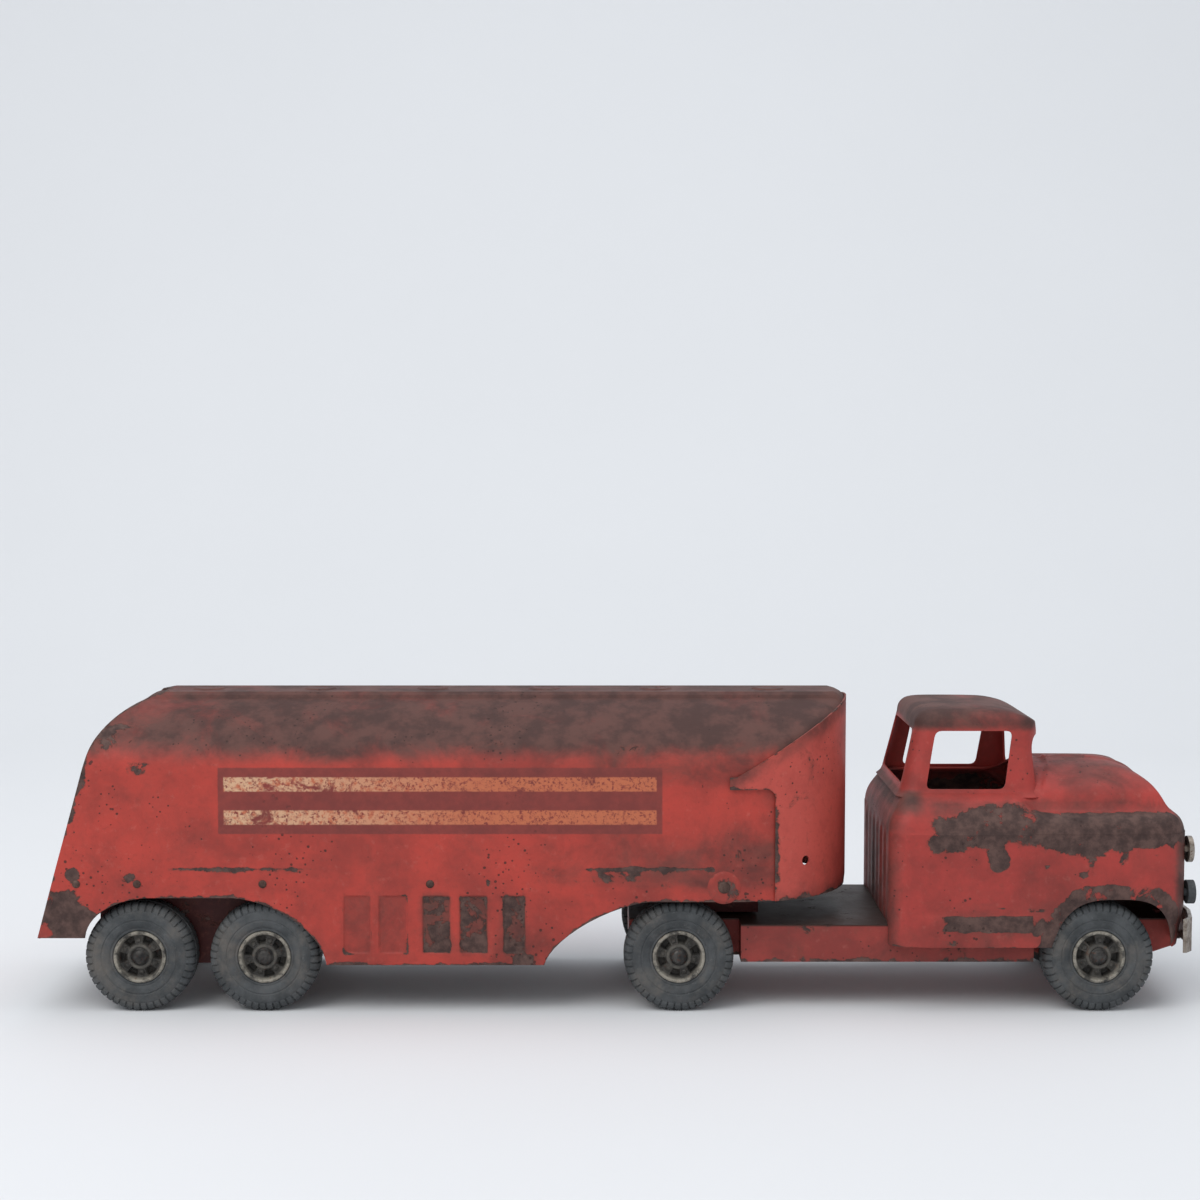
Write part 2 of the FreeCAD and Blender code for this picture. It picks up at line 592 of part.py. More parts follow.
def tank_form(name, wall):
    """The tank without its ends cut: flat sides, an arch of three tangent arcs, a round nose from above."""
    half = f"(tank_half - {wall})"
    share = f"(arch_side - {wall}) / ({CROWN} - arch_side)"
    bend_out = f"(tank_half - arch_side) * (1 + {share})"
    bend_up = f"arch_base + {share} * ({CROWN} - arch_rise)"
    section = [
        (half, f"-{BEYOND}"),
        (half, "arch_base", f"arch_side - {wall}", -1),
        (bend_out, bend_up, f"{CROWN} - {wall}", -1),
        (f"-{bend_out}", bend_up, f"arch_side - {wall}", -1),
        (f"-{half}", "arch_base"),
        (f"-{half}", f"-{BEYOND}"),
    ]
    start = f"{PIN} - tail_reach - {BEYOND}"
    trough = prism(name + "_section", "YZ_Plane", section, f"tail_reach + {BEYOND} + tank_half", start)
    behind = block(name + "_behind", (start, PIN), (f"-{half}", half), (f"-{BEYOND}", f"{ROOF} + {BEYOND}"))
    nose = rod(name + "_nose", half, f"{ROOF} + 2 * {BEYOND}", "Z", PIN, "0", f"-{BEYOND}")
    return common(name, trough, fuse(name + "_plan", behind, nose))


def tail_points(wall):
    """The tail from its foot, up its lean and round its top, drawn in by a wall."""
    return [
        (f"{PIN} - tail_reach + {wall}", "tail_low"),
        (f"{PIN} - tail_reach + tail_lean + {wall}", "tail_knee", f"tail_round - {wall}", 1),
        (f"{PIN} - tail_reach + tail_lean + {TAIL_TOP_RUN}", f"{ROOF} - {wall}"),
    ]


tank_outer = tank_form("tank_outer", "0")
tank_inner = tank_form("tank_inner", "sheet")
side_view = prism("side_view", "XZ_Plane", tail_points("0") + [
    (f"{PIN} - tail_reach + tail_lean + {TAIL_TOP_RUN}", f"{ROOF} + {BEYOND}"),
    (f"{PIN} + tank_half + {BEYOND}", f"{ROOF} + {BEYOND}"),
    (f"{PIN} + tank_half + {BEYOND}", "nose_low"),
    (f"{PIN} - skirt_front + skirt_round", "nose_low", "skirt_round", -1),
    (f"{PIN} - skirt_front", "skirt_low"),
    (f"{PIN} - bogie_front", "skirt_low"),
    (f"{PIN} - bogie_front - 19", "bogie_top - 9", "24", -1),
    (f"{PIN} - bogie_front - 38", "bogie_top"),
    (f"{PIN} - bogie_rear + 30", "bogie_top", "26", -1),
    (f"{PIN} - bogie_rear + 10", "bogie_top - 10"),
    (f"{PIN} - bogie_rear", "tail_low"),
], f"2 * (tank_half + {BEYOND})")
nose_slope = "arch_rise / tank_half"
under_roof = prism("under_roof", "XZ_Plane", [
    (f"{PIN} + wrap_end", f"-{BEYOND}"),
    (f"{PIN} + tank_half + {BEYOND}", f"-{BEYOND}"),
    (f"{PIN} + tank_half + {BEYOND}", f"arch_base - 1 + (tank_half + {BEYOND}) * {nose_slope}"),
    (f"{PIN} + wrap_end", f"arch_base - 1 + wrap_end * {nose_slope}"),
], f"2 * (tank_half + {BEYOND})")
walkway = cut("walkway", block("walkway_bar", (f"{PIN} - tail_reach + tail_lean + {TAIL_TOP_RUN}",
                                               f"{PIN} + tank_half - 4"),
                               ("-ridge_half", "ridge_half"), (f"{ROOF} - 3", f"{ROOF} + ridge_rise")), tank_inner)
hatches = [
    rod(f"hatch_{index}", "hatch_radius", "ridge_rise + hatch_rise", "Z",
        f"{PIN} + hatch_lead - {index} * hatch_pitch", "0", ROOF)
    for index in range(HATCHES)]
panels = []
for hand, side in SIDES.items():
    face = ("tank_half - panel_deep", "tank_half + 1")
    across = face if side > 0 else (f"-({face[1]})", f"-({face[0]})")
    for index, (back, length) in enumerate(PANELS):
        panels.append(block(f"panel_{hand}_{index}", (f"{PIN} - {back}", f"{PIN} - {back} + {length}"), across,
                            ("panel_low", "panel_high")))

# ---- trailer fastenings --------------------------------------------------------------------
GRIP = "sheet + plate"
TAB_RISE = (f"rivet_up - {TAB_HALF}", f"rivet_up + {TAB_HALF}")
BRACE_RUN = (f"{PIN} - brace_back - {TAB_HALF}", f"{PIN} - brace_back + {TAB_HALF}")
RIVETS = {"bogie": ["bogie_axle_rear", "bogie_axle_front"], "brace": ["brace_back"], "tail": ["tail_reach - 21"]}
trailer_rivets = {}
for name, distances in RIVETS.items():
    set_of_rivets = [
        rivet(f"{name}_rivet_{index}_{hand}", "Y", f"{PIN} - ({back})", "tank_half", "rivet_up", GRIP, side)
        for index, back in enumerate(distances) for hand, side in SIDES.items()]
    trailer_rivets[name] = node(name + "_rivets", group(name + "_rivet_set", *set_of_rivets))

screws = []
for hand, side in SIDES.items():
    x = f"{PIN} - screw_back"
    shank_start = "tank_half - screw_length" if side > 0 else "-tank_half"
    head_start = "tank_half" if side > 0 else "-tank_half - rivet_head"
    shank = rod(f"screw_{hand}_shank", "screw_radius", "screw_length", "Y", x, shank_start, "screw_up")
    head = rod(f"screw_{hand}_head", "screw_radius * 2", "rivet_head", "Y", x, head_start, "screw_up")
    screws.append(fuse(f"screw_{hand}", shank, head))
bridge_screws = node("bridge_screws", group("screw_pair", *screws))

sheet_blank = cut("sheet_blank", tank_outer, tank_inner, under_roof, *panels)
sheet_trimmed = common("sheet_trimmed", sheet_blank, side_view)
node("tank_sheet", cut("tank_pressing", fuse("tank_with_walkway", sheet_trimmed, walkway, *hatches),
                       bridge_screws, *trailer_rivets.values()))

# ---- tank ends ------------------------------------------------------------------------------
tail_foot, tail_knee, tail_crown = tail_points("sheet")
tail_strip = prism("tail_strip", "XZ_Plane", tail_points("0") + [
    (*tail_crown, "tail_round - sheet", -1), tail_knee[:2], tail_foot], "2 * tank_half")
tail_tabs = []
for hand, side in SIDES.items():
    low, high = "tank_half - sheet - plate", "tank_half - sheet"
    across = (low, high) if side > 0 else (f"-({high})", f"-({low})")
    tail_tabs.append(block(f"tail_tab_{hand}", (f"{PIN} - tail_reach + 10", f"{PIN} - tail_reach + 26"), across,
                           TAB_RISE))
tail_crest = block("tail_crest", (f"{PIN} - tail_reach", PIN), ("-tank_half", "tank_half"),
                   (f"{ROOF} - 2 * sheet - 0.6", f"{ROOF} + {BEYOND}"))
tail_formed = cut("tail_formed", common("tail_bent", tail_strip, tank_inner), tail_crest)
node("rear_panel", cut("rear_pressing", fuse("rear_with_tabs", tail_formed, *tail_tabs), trailer_rivets["tail"]))

panel_wall = cut("panel_wall", rod("panel_outside", "tank_half + sheet", f"{ROOF}", "Z", PIN, "0", "nose_low"),
                 rod("panel_inside", "tank_half", f"{ROOF} + 2", "Z", PIN, "0", "nose_low - 1"))
panel_side = prism("panel_side", "XZ_Plane", [
    (f"{PIN} + wrap_end - 1.5", "nose_low"),
    (f"{PIN} + tank_half + {BEYOND}", "nose_low"),
    (f"{PIN} + tank_half + {BEYOND}", f"arch_base - 1 - seam_gap + (tank_half + {BEYOND}) * {nose_slope}"),
    (f"{PIN}", "arch_base - 1 - seam_gap"),
    (f"{PIN}", "tab_low"),
    (f"{PIN} + wrap_end - 5.5", "tab_low"),
    (f"{PIN} + wrap_end - 1.5", "tab_low - 4"),
], f"2 * (tank_half + {BEYOND})")
nose_wall = common("nose_wall", panel_wall, panel_side)
nose_tabs = []
nose_holes = []
for hand, side in SIDES.items():
    low, high = "tank_half", "tank_half + sheet"
    across = (low, high) if side > 0 else (f"-({high})", f"-({low})")
    nose_tabs.append(block(f"nose_tab_{hand}", (f"{PIN} - tab_reach", f"{PIN} + 0.01"), across,
                           ("tab_low", "arch_base - 1 - seam_gap")))
    drill = rod(f"nose_drill_{hand}", "nose_hole", f"tank_half + {BEYOND}", "Y", PIN, "0", "nose_hole_up")
    outward = f"rotation(vector(0; 0; 1); {-side} * nose_hole_turn) * rotation(vector(1; 0; 0); {-side * 90})"
    drill.setExpression("Placement", bind(f"placement(vector({PIN}; 0; nose_hole_up); {outward})"))
    nose_holes.append(drill)
node("nose_panel", cut("nose_pressing", fuse("nose_with_tabs", nose_wall, *nose_tabs), *nose_holes))

# ---- under the tank -------------------------------------------------------------------------
INSIDE = "(tank_half - sheet)"


def strap(name, corners, back, ahead_of):
    """A bent plate, given by its section across the lorry, that runs between two distances."""
    return prism(name, "YZ_Plane", corners, f"({ahead_of}) - ({back})", f"{PIN} + ({back})")


bridge_corners = [
    (f"{INSIDE} - 1.8", "bridge_high + plate"),
    (f"{INSIDE} - 1.8", "bridge_high"),
    ("bridge_half + 4", "bridge_high"),
    ("bridge_half", "bridge_low"),
]
bridge_lower = [
    ("bridge_half - plate", "bridge_low + plate"),
    ("bridge_half + 4 - plate", "bridge_high + plate"),
]
bridge_section = [(y, z) for y, z in bridge_corners]
bridge_section += [(f"-({y})", z) for y, z in reversed(bridge_corners)]
bridge_section += [(f"-({y})", z) for y, z in reversed(bridge_lower)] + bridge_lower
bridge_tabs = []
brace_tabs = []
for hand, side in SIDES.items():
    low, high = f"{INSIDE} - plate", INSIDE
    across = (low, high) if side > 0 else (f"-({high})", f"-({low})")
    reach = (f"{INSIDE} - 4", INSIDE) if side > 0 else (f"-({INSIDE})", f"-({INSIDE} - 4)")
    run = (f"{PIN} - bridge_back", f"{PIN} - 1")
    bridge_tabs.append(block(f"bridge_tab_{hand}", run, across, ("bridge_high", "screw_up + 8")))
    bridge_tabs.append(block(f"bridge_foot_{hand}", run, reach, ("bridge_high", "bridge_high + plate")))
    brace_tabs.append(block(f"brace_tab_{hand}", BRACE_RUN,
                            across, TAB_RISE))
pin_head = rod("pin_head", "kingpin_radius * 2", "2", "Z", PIN, "0", "bridge_low + plate")
pin_shank = rod("pin_shank", "kingpin_radius", "bridge_low + plate - deck_high + 7", "Z", PIN, "0",
                "deck_high - 7")
kingpin = node("kingpin", fuse("kingpin_rivet", pin_head, pin_shank))
clip_blank = rod("clip_blank", "kingpin_radius + 4", "plate", "Z", PIN, "0",
                 "deck_high - plate - side_play - plate")
node("kingpin_clip", cut("clip_ring", clip_blank, pin_shank))
bridge_plate = strap("bridge_plate", bridge_section, "-bridge_back", "bridge_ahead")
node("coupling_bridge", cut("bridge_pressing", fuse("bridge_with_tabs", bridge_plate, *bridge_tabs),
                            kingpin, bridge_screws))
brace_bar = block("brace_bar", BRACE_RUN,
                  (f"-{INSIDE}", INSIDE), (f"rivet_up + {TAB_HALF} - plate", f"rivet_up + {TAB_HALF}"))
node("cross_brace", cut("brace_pressing", fuse("brace_with_tabs", brace_bar, *brace_tabs),
                        trailer_rivets["brace"]))

BRACKET_RUN = ("-bogie_rear + 3", "-bogie_front - 10")
LEG = "frame_waist + 1.5"
bracket_top = block("bracket_top", tuple(f"{PIN} + ({end})" for end in BRACKET_RUN), (f"-{INSIDE}", INSIDE),
                    ("rivet_up + 4", "rivet_up + 4 + plate"))
bracket_walls = []
for hand, side in SIDES.items():
    for part, (low, high), foot in (
            ("tab", (f"{INSIDE} - plate", INSIDE), "bogie_top + 2"),
            ("leg", (LEG, f"{LEG} + plate"), "tyre_radius - 8")):
        across = (low, high) if side > 0 else (f"-({high})", f"-({low})")
        bracket_walls.append(block(f"bracket_{part}_{hand}", tuple(f"{PIN} + ({end})" for end in BRACKET_RUN),
                                   across, (foot, "rivet_up + 4 + plate")))
node("bogie_bracket", cut("bracket_pressing", fuse("bracket_walls", bracket_top, *bracket_walls),
                          axles["trailer_front"], axles["trailer_rear"], trailer_rivets["bogie"]))

# ---- checks and files -----------------------------------------------------------------------
doc.recompute()
failed = [item.Label for item in doc.Objects if {"Invalid", "Error"} & set(item.State)]
broken = [item.Label for item in NODES if item.Shape.isNull() or not item.Shape.isValid()]
if failed or broken:
    raise RuntimeError(f"failed: {failed}; without a valid shape: {broken}")
os.makedirs("parts", exist_ok=True)
for item in NODES:
    item.Shape.exportStep(f"parts/{item.Label}.step")
    print(item.Label, len(item.Shape.Solids), round(item.Shape.Volume))
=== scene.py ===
import bmesh
import bpy
import json
import math
import numpy as np
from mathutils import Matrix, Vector


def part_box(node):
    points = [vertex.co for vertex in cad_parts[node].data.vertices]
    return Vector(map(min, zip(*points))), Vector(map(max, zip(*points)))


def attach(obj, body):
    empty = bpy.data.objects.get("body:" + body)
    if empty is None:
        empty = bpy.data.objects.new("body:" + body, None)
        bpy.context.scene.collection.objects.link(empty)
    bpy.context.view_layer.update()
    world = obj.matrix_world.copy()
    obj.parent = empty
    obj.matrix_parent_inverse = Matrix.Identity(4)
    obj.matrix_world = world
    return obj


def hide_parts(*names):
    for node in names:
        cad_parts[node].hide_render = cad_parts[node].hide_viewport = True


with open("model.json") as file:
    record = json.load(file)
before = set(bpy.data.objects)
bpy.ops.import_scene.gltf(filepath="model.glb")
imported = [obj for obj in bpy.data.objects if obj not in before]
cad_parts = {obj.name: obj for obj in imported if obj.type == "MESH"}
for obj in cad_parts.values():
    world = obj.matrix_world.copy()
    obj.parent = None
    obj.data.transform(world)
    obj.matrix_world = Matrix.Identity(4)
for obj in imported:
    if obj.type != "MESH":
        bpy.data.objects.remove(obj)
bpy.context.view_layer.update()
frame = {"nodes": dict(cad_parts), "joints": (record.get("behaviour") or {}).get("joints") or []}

# The room: a pale painted board floor and wall, the camera at the toy's side, and broad
# window light from high on the left, with a weaker fill from the right.
mm = 0.001
scene = bpy.context.scene
scene.view_settings.view_transform = "Standard"
swing = next(joint for joint in frame["joints"] if joint["name"] == "trailer_swing")
pin = swing["pos_m"][0]
camera = bpy.data.objects.new("camera", bpy.data.cameras.new("camera"))
camera.data.lens = 64.05
camera.data.sensor_width = 36
camera.location = (pin - 71.7 * mm, -1170 * mm, 300 * mm)
camera.rotation_euler = (math.radians(90 - 4.2), 0, 0)
scene.collection.objects.link(camera)
scene.camera = camera


def set_node(tree, kind, links=(), **settings):
    """Add one shader node. links maps an input's name or number to a value or to an output."""
    made = tree.nodes.new("ShaderNode" + kind)
    for name, setting in settings.items():
        setattr(made, name, setting)
    for name, source in dict(links).items():
        if isinstance(source, bpy.types.NodeSocket):
            tree.links.new(source, made.inputs[name])
        else:
            made.inputs[name].default_value = source
    return made


def reckon(tree, operation, first, second=0.0, clamp=False):
    """One arithmetic step between two values."""
    return set_node(tree, "Math", {0: first, 1: second}, operation=operation, use_clamp=clamp).outputs[0]


def fade(tree, source, low, high):
    """Rise smoothly from 0 at the low value to 1 at the high value, or fall where low is above high."""
    links = {"Value": source, "From Min": low, "From Max": high}
    return set_node(tree, "MapRange", links, interpolation_type="SMOOTHSTEP").outputs[0]


def tint(tree, share, under, over):
    """Lay one colour over another by a share."""
    links = {0: share, 6: under, 7: over}
    return set_node(tree, "Mix", links, data_type="RGBA").outputs[2]


def grain(tree, place, scale, detail=2.0, rough=0.5, bend=0.0):
    """A field of soft noise, about 0.5 on average, with this many grains to the metre."""
    links = {"Vector": place, "Scale": scale, "Detail": detail, "Roughness": rough, "Distortion": bend}
    return set_node(tree, "TexNoise", links).outputs[0]


def new_material(name):
    """A material with an empty tree, a surface shader and its Object coordinates."""
    material = bpy.data.materials.new(name)
    material.use_nodes = True
    tree = material.node_tree
    surface = tree.nodes["Principled BSDF"]
    place = tree.nodes.new("ShaderNodeTexCoord").outputs["Object"]
    return material, tree, surface, place


def plaster(name, colour):
    """Matt pale paint with a faint unevenness."""
    material, tree, surface, place = new_material(name)
    surface.inputs["Roughness"].default_value = 0.75
    surface.inputs["Specular IOR Level"].default_value = 0.2
    darker = tuple(0.97 * channel for channel in colour[:3]) + (1,)
    tree.links.new(tint(tree, grain(tree, place, 3, 4), darker, colour), surface.inputs["Base Color"])
    return material


def stage_sheet(name, corners, faces, material):
    """A smooth open sheet that only belongs to the room."""
    mesh = bpy.data.meshes.new(name)
    mesh.from_pydata(corners, [], faces)
    mesh.polygons.foreach_set("use_smooth", np.ones(len(mesh.polygons), bool))
    mesh.materials.append(material)
    sheet = bpy.data.objects.new(name, mesh)
    scene.collection.objects.link(sheet)
    return sheet


floor_reach, sweep_start, sweep_radius = 9.0, 0.9, 1.2
bend = np.radians(np.linspace(0, 90, 25))
depth = np.concatenate([[-floor_reach], sweep_start + sweep_radius * np.sin(bend),
                        [sweep_start + sweep_radius]])
lift = np.concatenate([[0], sweep_radius * (1 - np.cos(bend)), [floor_reach]])
rows = [[(side * floor_reach, y, z) for side in (-1, 1)] for y, z in zip(depth, lift)]
corners = [corner for row in rows for corner in row]
stage_sheet("floor", corners, [(2 * n, 2 * n + 1, 2 * n + 3, 2 * n + 2) for n in range(len(rows) - 1)],
            plaster("floor_paint", (0.74, 0.75, 0.77, 1)))


def lamp(name, place, aim, width, height, power, colour=(1, 1, 1)):
    """A soft square light that faces a point."""
    data = bpy.data.lights.new(name, "AREA")
    data.shape, data.size, data.size_y, data.energy, data.color = "RECTANGLE", width, height, power, colour
    light = bpy.data.objects.new(name, data)
    scene.collection.objects.link(light)
    light.location = place
    towards = np.array(aim, float) - np.array(place, float)
    turn = math.atan2(towards[0], -towards[1])
    tilt = math.acos(-towards[2] / np.linalg.norm(towards))
    light.rotation_euler = (tilt, 0, math.pi + turn)
    return light


lamp("window", (-1.2, -1.4, 2.0), (0, 0, 0.05), 1.8, 1.4, 26, (1.0, 0.99, 0.97))
lamp("ceiling", (0.2, 0.1, 2.4), (0, 0, 0), 2.6, 2.6, 22, (0.97, 0.985, 1.0))
world = bpy.data.worlds.new("room")
world.use_nodes = True
world.node_tree.nodes["Background"].inputs[0].default_value = (0.90, 0.93, 0.96, 1)
world.node_tree.nodes["Background"].inputs[1].default_value = 0.78
scene.world = world

# The tank: one sheet of thin steel bent over into an upside-down trough, with a crease low on
# each side, five panels pressed into each skirt and a walkway pressed along the roof. Its
# enamel has worn away along the crease and edges, and rust film covers the roof.
tank_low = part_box("tank_sheet")[0]
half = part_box("tank_sheet")[1].y
sheet = 0.9 * mm
arch_base, roof = 127 * mm, 164 * mm
arch_rise = roof - arch_base
crease_up = 75 * mm
tail_foot, tail_foot_up = tank_low.x, 40 * mm
tail_lean, tail_knee = 27 * mm, 137 * mm
tail_bend = 38.3 * mm
tail_crown = tail_foot + tail_lean + 36.7 * mm
nose_low, skirt_low, bogie_top = 59.4 * mm, 25.5 * mm, 61.5 * mm
ridge_half, ridge_rise = 18 * mm, 1.2 * mm
panel_low, panel_high = 31.5 * mm, 63 * mm
panel_starts = (-207, -188.5, -165.5, -146, -123)
panel_widths = (15, 15.5, 15.5, 15.5, 12.5)


def surface_mesh(name, points, closed=(False, False), flip=False):
    """A mesh of quads over a grid of points, joined round where it closes on itself."""
    rows, columns = points.shape[:2]
    numbers = np.arange(rows * columns).reshape(rows, columns)
    if closed[0]:
        numbers = np.vstack([numbers, numbers[:1]])
    if closed[1]:
        numbers = np.hstack([numbers, numbers[:, :1]])
    quads = np.stack([numbers[:-1, :-1], numbers[1:, :-1], numbers[1:, 1:], numbers[:-1, 1:]],
                     -1).reshape(-1, 4)
    if flip:
        quads = quads[:, ::-1]
    mesh = bpy.data.meshes.new(name)
    mesh.vertices.add(rows * columns)
    mesh.vertices.foreach_set("co", points.astype(np.float32).ravel())
    mesh.loops.add(quads.size)
    mesh.loops.foreach_set("vertex_index", quads.astype(np.int32).ravel())
    mesh.polygons.add(len(quads))
    mesh.polygons.foreach_set("loop_start", np.arange(0, quads.size, 4, dtype=np.int32))
    mesh.update(calc_edges=True)
    mesh.validate()
    return mesh


def new_piece(name, mesh, material, body, slot, *nodes):
    """Put a mesh in the scene as a piece that rides on a body."""
    piece = bpy.data.objects.new(name, mesh)
    scene.collection.objects.link(piece)
    mesh.materials.clear()
    mesh.materials.append(material)
    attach(piece, body)
    if nodes:
        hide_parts(*nodes)
    return piece


def finish_modifiers(piece):
    """Apply a piece's modifiers to its mesh."""
    bpy.context.view_layer.update()
    graph = bpy.context.evaluated_depsgraph_get()
    mesh = bpy.data.meshes.new_from_object(piece.evaluated_get(graph))
    piece.modifiers.clear()
    piece.data = mesh


def thicken(piece, wall, offset=-1.0):
    """Give a sheet its thickness and close its edges."""
    solid = piece.modifiers.new("wall", "SOLIDIFY")
    solid.thickness, solid.offset, solid.use_even_offset = wall, offset, True
    finish_modifiers(piece)


def carve(piece, *meshes, solver="EXACT"):
    """Cut closed meshes out of a piece."""
    cutters = []
    for mesh in meshes:
        cutter = bpy.data.objects.new("cutter", mesh)
        scene.collection.objects.link(cutter)
        cutters.append(cutter)
        trim = piece.modifiers.new("trim", "BOOLEAN")
        trim.operation, trim.solver, trim.object = "DIFFERENCE", solver, cutter
    finish_modifiers(piece)
    for cutter in cutters:
        bpy.data.objects.remove(cutter)


def smooth(piece, angle=32):
    """Shade a piece smoothly but keep folds sharper than the angle crisp."""
    mesh = piece.data
    mesh.polygons.foreach_set("use_smooth", np.ones(len(mesh.polygons), bool))
    mesh.set_sharp_from_angle(angle=math.radians(angle))


def slab(name, corners, axis, low, high):
    """A closed prism: an outline in the plane square to an axis, carried from low to high along it."""
    flat = np.array(corners, float)
    count = len(flat)
    order = {"y": (0, 2, 1), "x": (1, 2, 0), "z": (0, 1, 2)}[axis]
    points = np.zeros((2, count, 3))
    points[:, :, order[0]], points[:, :, order[1]] = flat[:, 0], flat[:, 1]
    points[0, :, order[2]], points[1, :, order[2]] = low, high
    following = np.roll(np.arange(count), -1)
    sides = [(a, b, b + count, a + count) for a, b in zip(range(count), following)]
    caps = [list(range(count))[::-1], [number + count for number in range(count)]]
    mesh = bpy.data.meshes.new(name)
    mesh.from_pydata(points.reshape(-1, 3).tolist(), [], sides + caps)
    area = np.sum(flat[:, 0] * np.roll(flat[:, 1], -1) - np.roll(flat[:, 0], -1) * flat[:, 1])
    if (area < 0) != (axis == "y"):
        mesh.flip_normals()
    return mesh


def sweep_curve(centre, spans, power, start, finish, count=14):
    """Points on the quarter of a superellipse between two quarter-turn angles."""
    turn = np.radians(np.linspace(start, finish, count))
    across = np.sign(np.cos(turn)) * np.abs(np.cos(turn)) ** (2 / power)
    up = np.sign(np.sin(turn)) * np.abs(np.sin(turn)) ** (2 / power)
    return list(zip(centre[0] + spans[0] * across, centre[1] + spans[1] * up))


def from_pin(distance):
    """A place along the lorry, given in millimetres ahead of the kingpin."""
    return pin + distance * mm


def tail_line(up):
    """The tail's place along the lorry at a height: a straight lean, then an arc over to the roof."""
    lean = tail_foot + tail_lean * (up - tail_foot_up) / (tail_knee - tail_foot_up)
    arc_up = np.clip(up - (roof - 38 * mm), 0, 38 * mm)
    arc = tail_crown - np.sqrt(tail_bend ** 2 - arc_up ** 2)
    return np.where(up < tail_knee, lean, arc)


def spaced(stops, pitch):
    """Values through every stop, with no gap wider than the pitch."""
    stops = sorted(stops)
    runs = [np.linspace(a, b, max(2, int(math.ceil((b - a) / pitch)) + 1))[:-1]
            for a, b in zip(stops, stops[1:])]
    return np.concatenate(runs + [[stops[-1]]])


panel_edge = 1.1 * mm
panel_sides = [from_pin(start) + shift for start, width in zip(panel_starts, panel_widths)
               for shift in (0, panel_edge, width * mm - panel_edge, width * mm)]
tail_end, nose_start = from_pin(-276), from_pin(-10)
along = spaced([tail_foot, tail_foot + 2 * mm, tail_end, nose_start, pin + half - 6 * mm, pin + half]
               + panel_sides, 3.0 * mm)
side_up = spaced([18 * mm, panel_low, panel_low + panel_edge, panel_high - panel_edge, panel_high,
                  crease_up - 2 * mm, crease_up, crease_up + 2 * mm, arch_base], 2.6 * mm)
side_bend = 24 * mm
crown_bend = (half ** 2 + arch_rise ** 2 - 2 * half * side_bend) / (2 * (arch_rise - side_bend))
bend_end = math.atan2(crown_bend - arch_rise, half - side_bend)
side_turn = np.linspace(0, bend_end, 13)[1:]
ridge_turn = math.acos(ridge_half / crown_bend)
crown_turn = np.concatenate([np.linspace(bend_end, ridge_turn - math.radians(0.35), 11)[1:],
                             np.linspace(ridge_turn + math.radians(0.35), math.pi / 2, 8)])
half_out = np.concatenate([np.full(len(side_up), half), half - side_bend + side_bend * np.cos(side_turn),
                           crown_bend * np.cos(crown_turn)])
half_up = np.concatenate([side_up, arch_base + side_bend * np.sin(side_turn),
                          roof - crown_bend + crown_bend * np.sin(crown_turn)])
lean_in = np.where(half_up < crease_up, 1.2 * mm * (crease_up - half_up) / (50 * mm),
                   0.7 * mm * np.sin(np.clip((half_up - crease_up) / (arch_base - crease_up), 0, 1)
                                     * math.pi / 2))
lean_in = np.where(half_up <= arch_base, lean_in, 0.7 * mm * np.cos(np.clip(
    (half_up - arch_base) / arch_rise, 0, 1) * math.pi / 2))
on_ridge = np.clip((ridge_half - half_out) / (1.0 * mm), 0, 1)
wrap_run = half * math.asin(22 * mm / half)


def tank_points(side):
    """Half the tank's section carried from the tail to the nose, for the left (1) or right (-1) side."""
    rows, x = np.meshgrid(half_up, along, indexing="ij")
    out = np.meshgrid(half_out - lean_in, along, indexing="ij")[0]
    full = np.meshgrid(half_out, along, indexing="ij")[0]
    up = rows.copy()
    tail = tail_line(rows)
    part = np.clip((x - tail_foot) / (tail_end - tail_foot), 0, 1)
    wrap = wrap_run * np.clip((arch_base - rows) / (8 * mm), 0, 1)
    front = pin + np.where(rows > arch_base, np.sqrt(np.maximum(half ** 2 - full ** 2, 0)), wrap)
    lead = np.clip((x - nose_start) / (pin + half - nose_start), 0, 1)
    place = np.where(x < tail_end, tail + part * (tail_end - tail),
                     np.where(x > nose_start, nose_start + lead * (front - nose_start), x))
    for start, width in zip(panel_starts, panel_widths):
        first, last = from_pin(start), from_pin(start + width)
        inside = np.clip(np.minimum(x - first, last - x) / panel_edge, 0, 1) \
            * np.clip(np.minimum(rows - panel_low, panel_high - rows) / panel_edge, 0, 1)
        out = out - 0.75 * mm * inside
    to_front = np.clip(1 - (front - place) / (6 * mm), 0, 1)
    up = up - np.where(rows > arch_base, 2.2 * mm * to_front ** 2, 0)
    ridge = np.meshgrid(on_ridge, along, indexing="ij")[0]
    ends = np.clip((place - tail_crown + 16 * mm) / (12 * mm), 0, 1) * np.clip((front - place) / (5 * mm), 0,
                                                                               1)
    flat_up = roof + ridge_rise
    up = up + ridge * ends * np.clip(flat_up - up, 0, 1)
    bend = np.where(rows > arch_base, 0, np.maximum(place - pin, 0) / half)
    return np.stack([np.where(bend > 0, pin + out * np.sin(bend), place), side * out * np.cos(bend), up], -1)


right, left = tank_points(-1), tank_points(1)
tank_grid = np.concatenate([right, left[-2::-1]], 0)


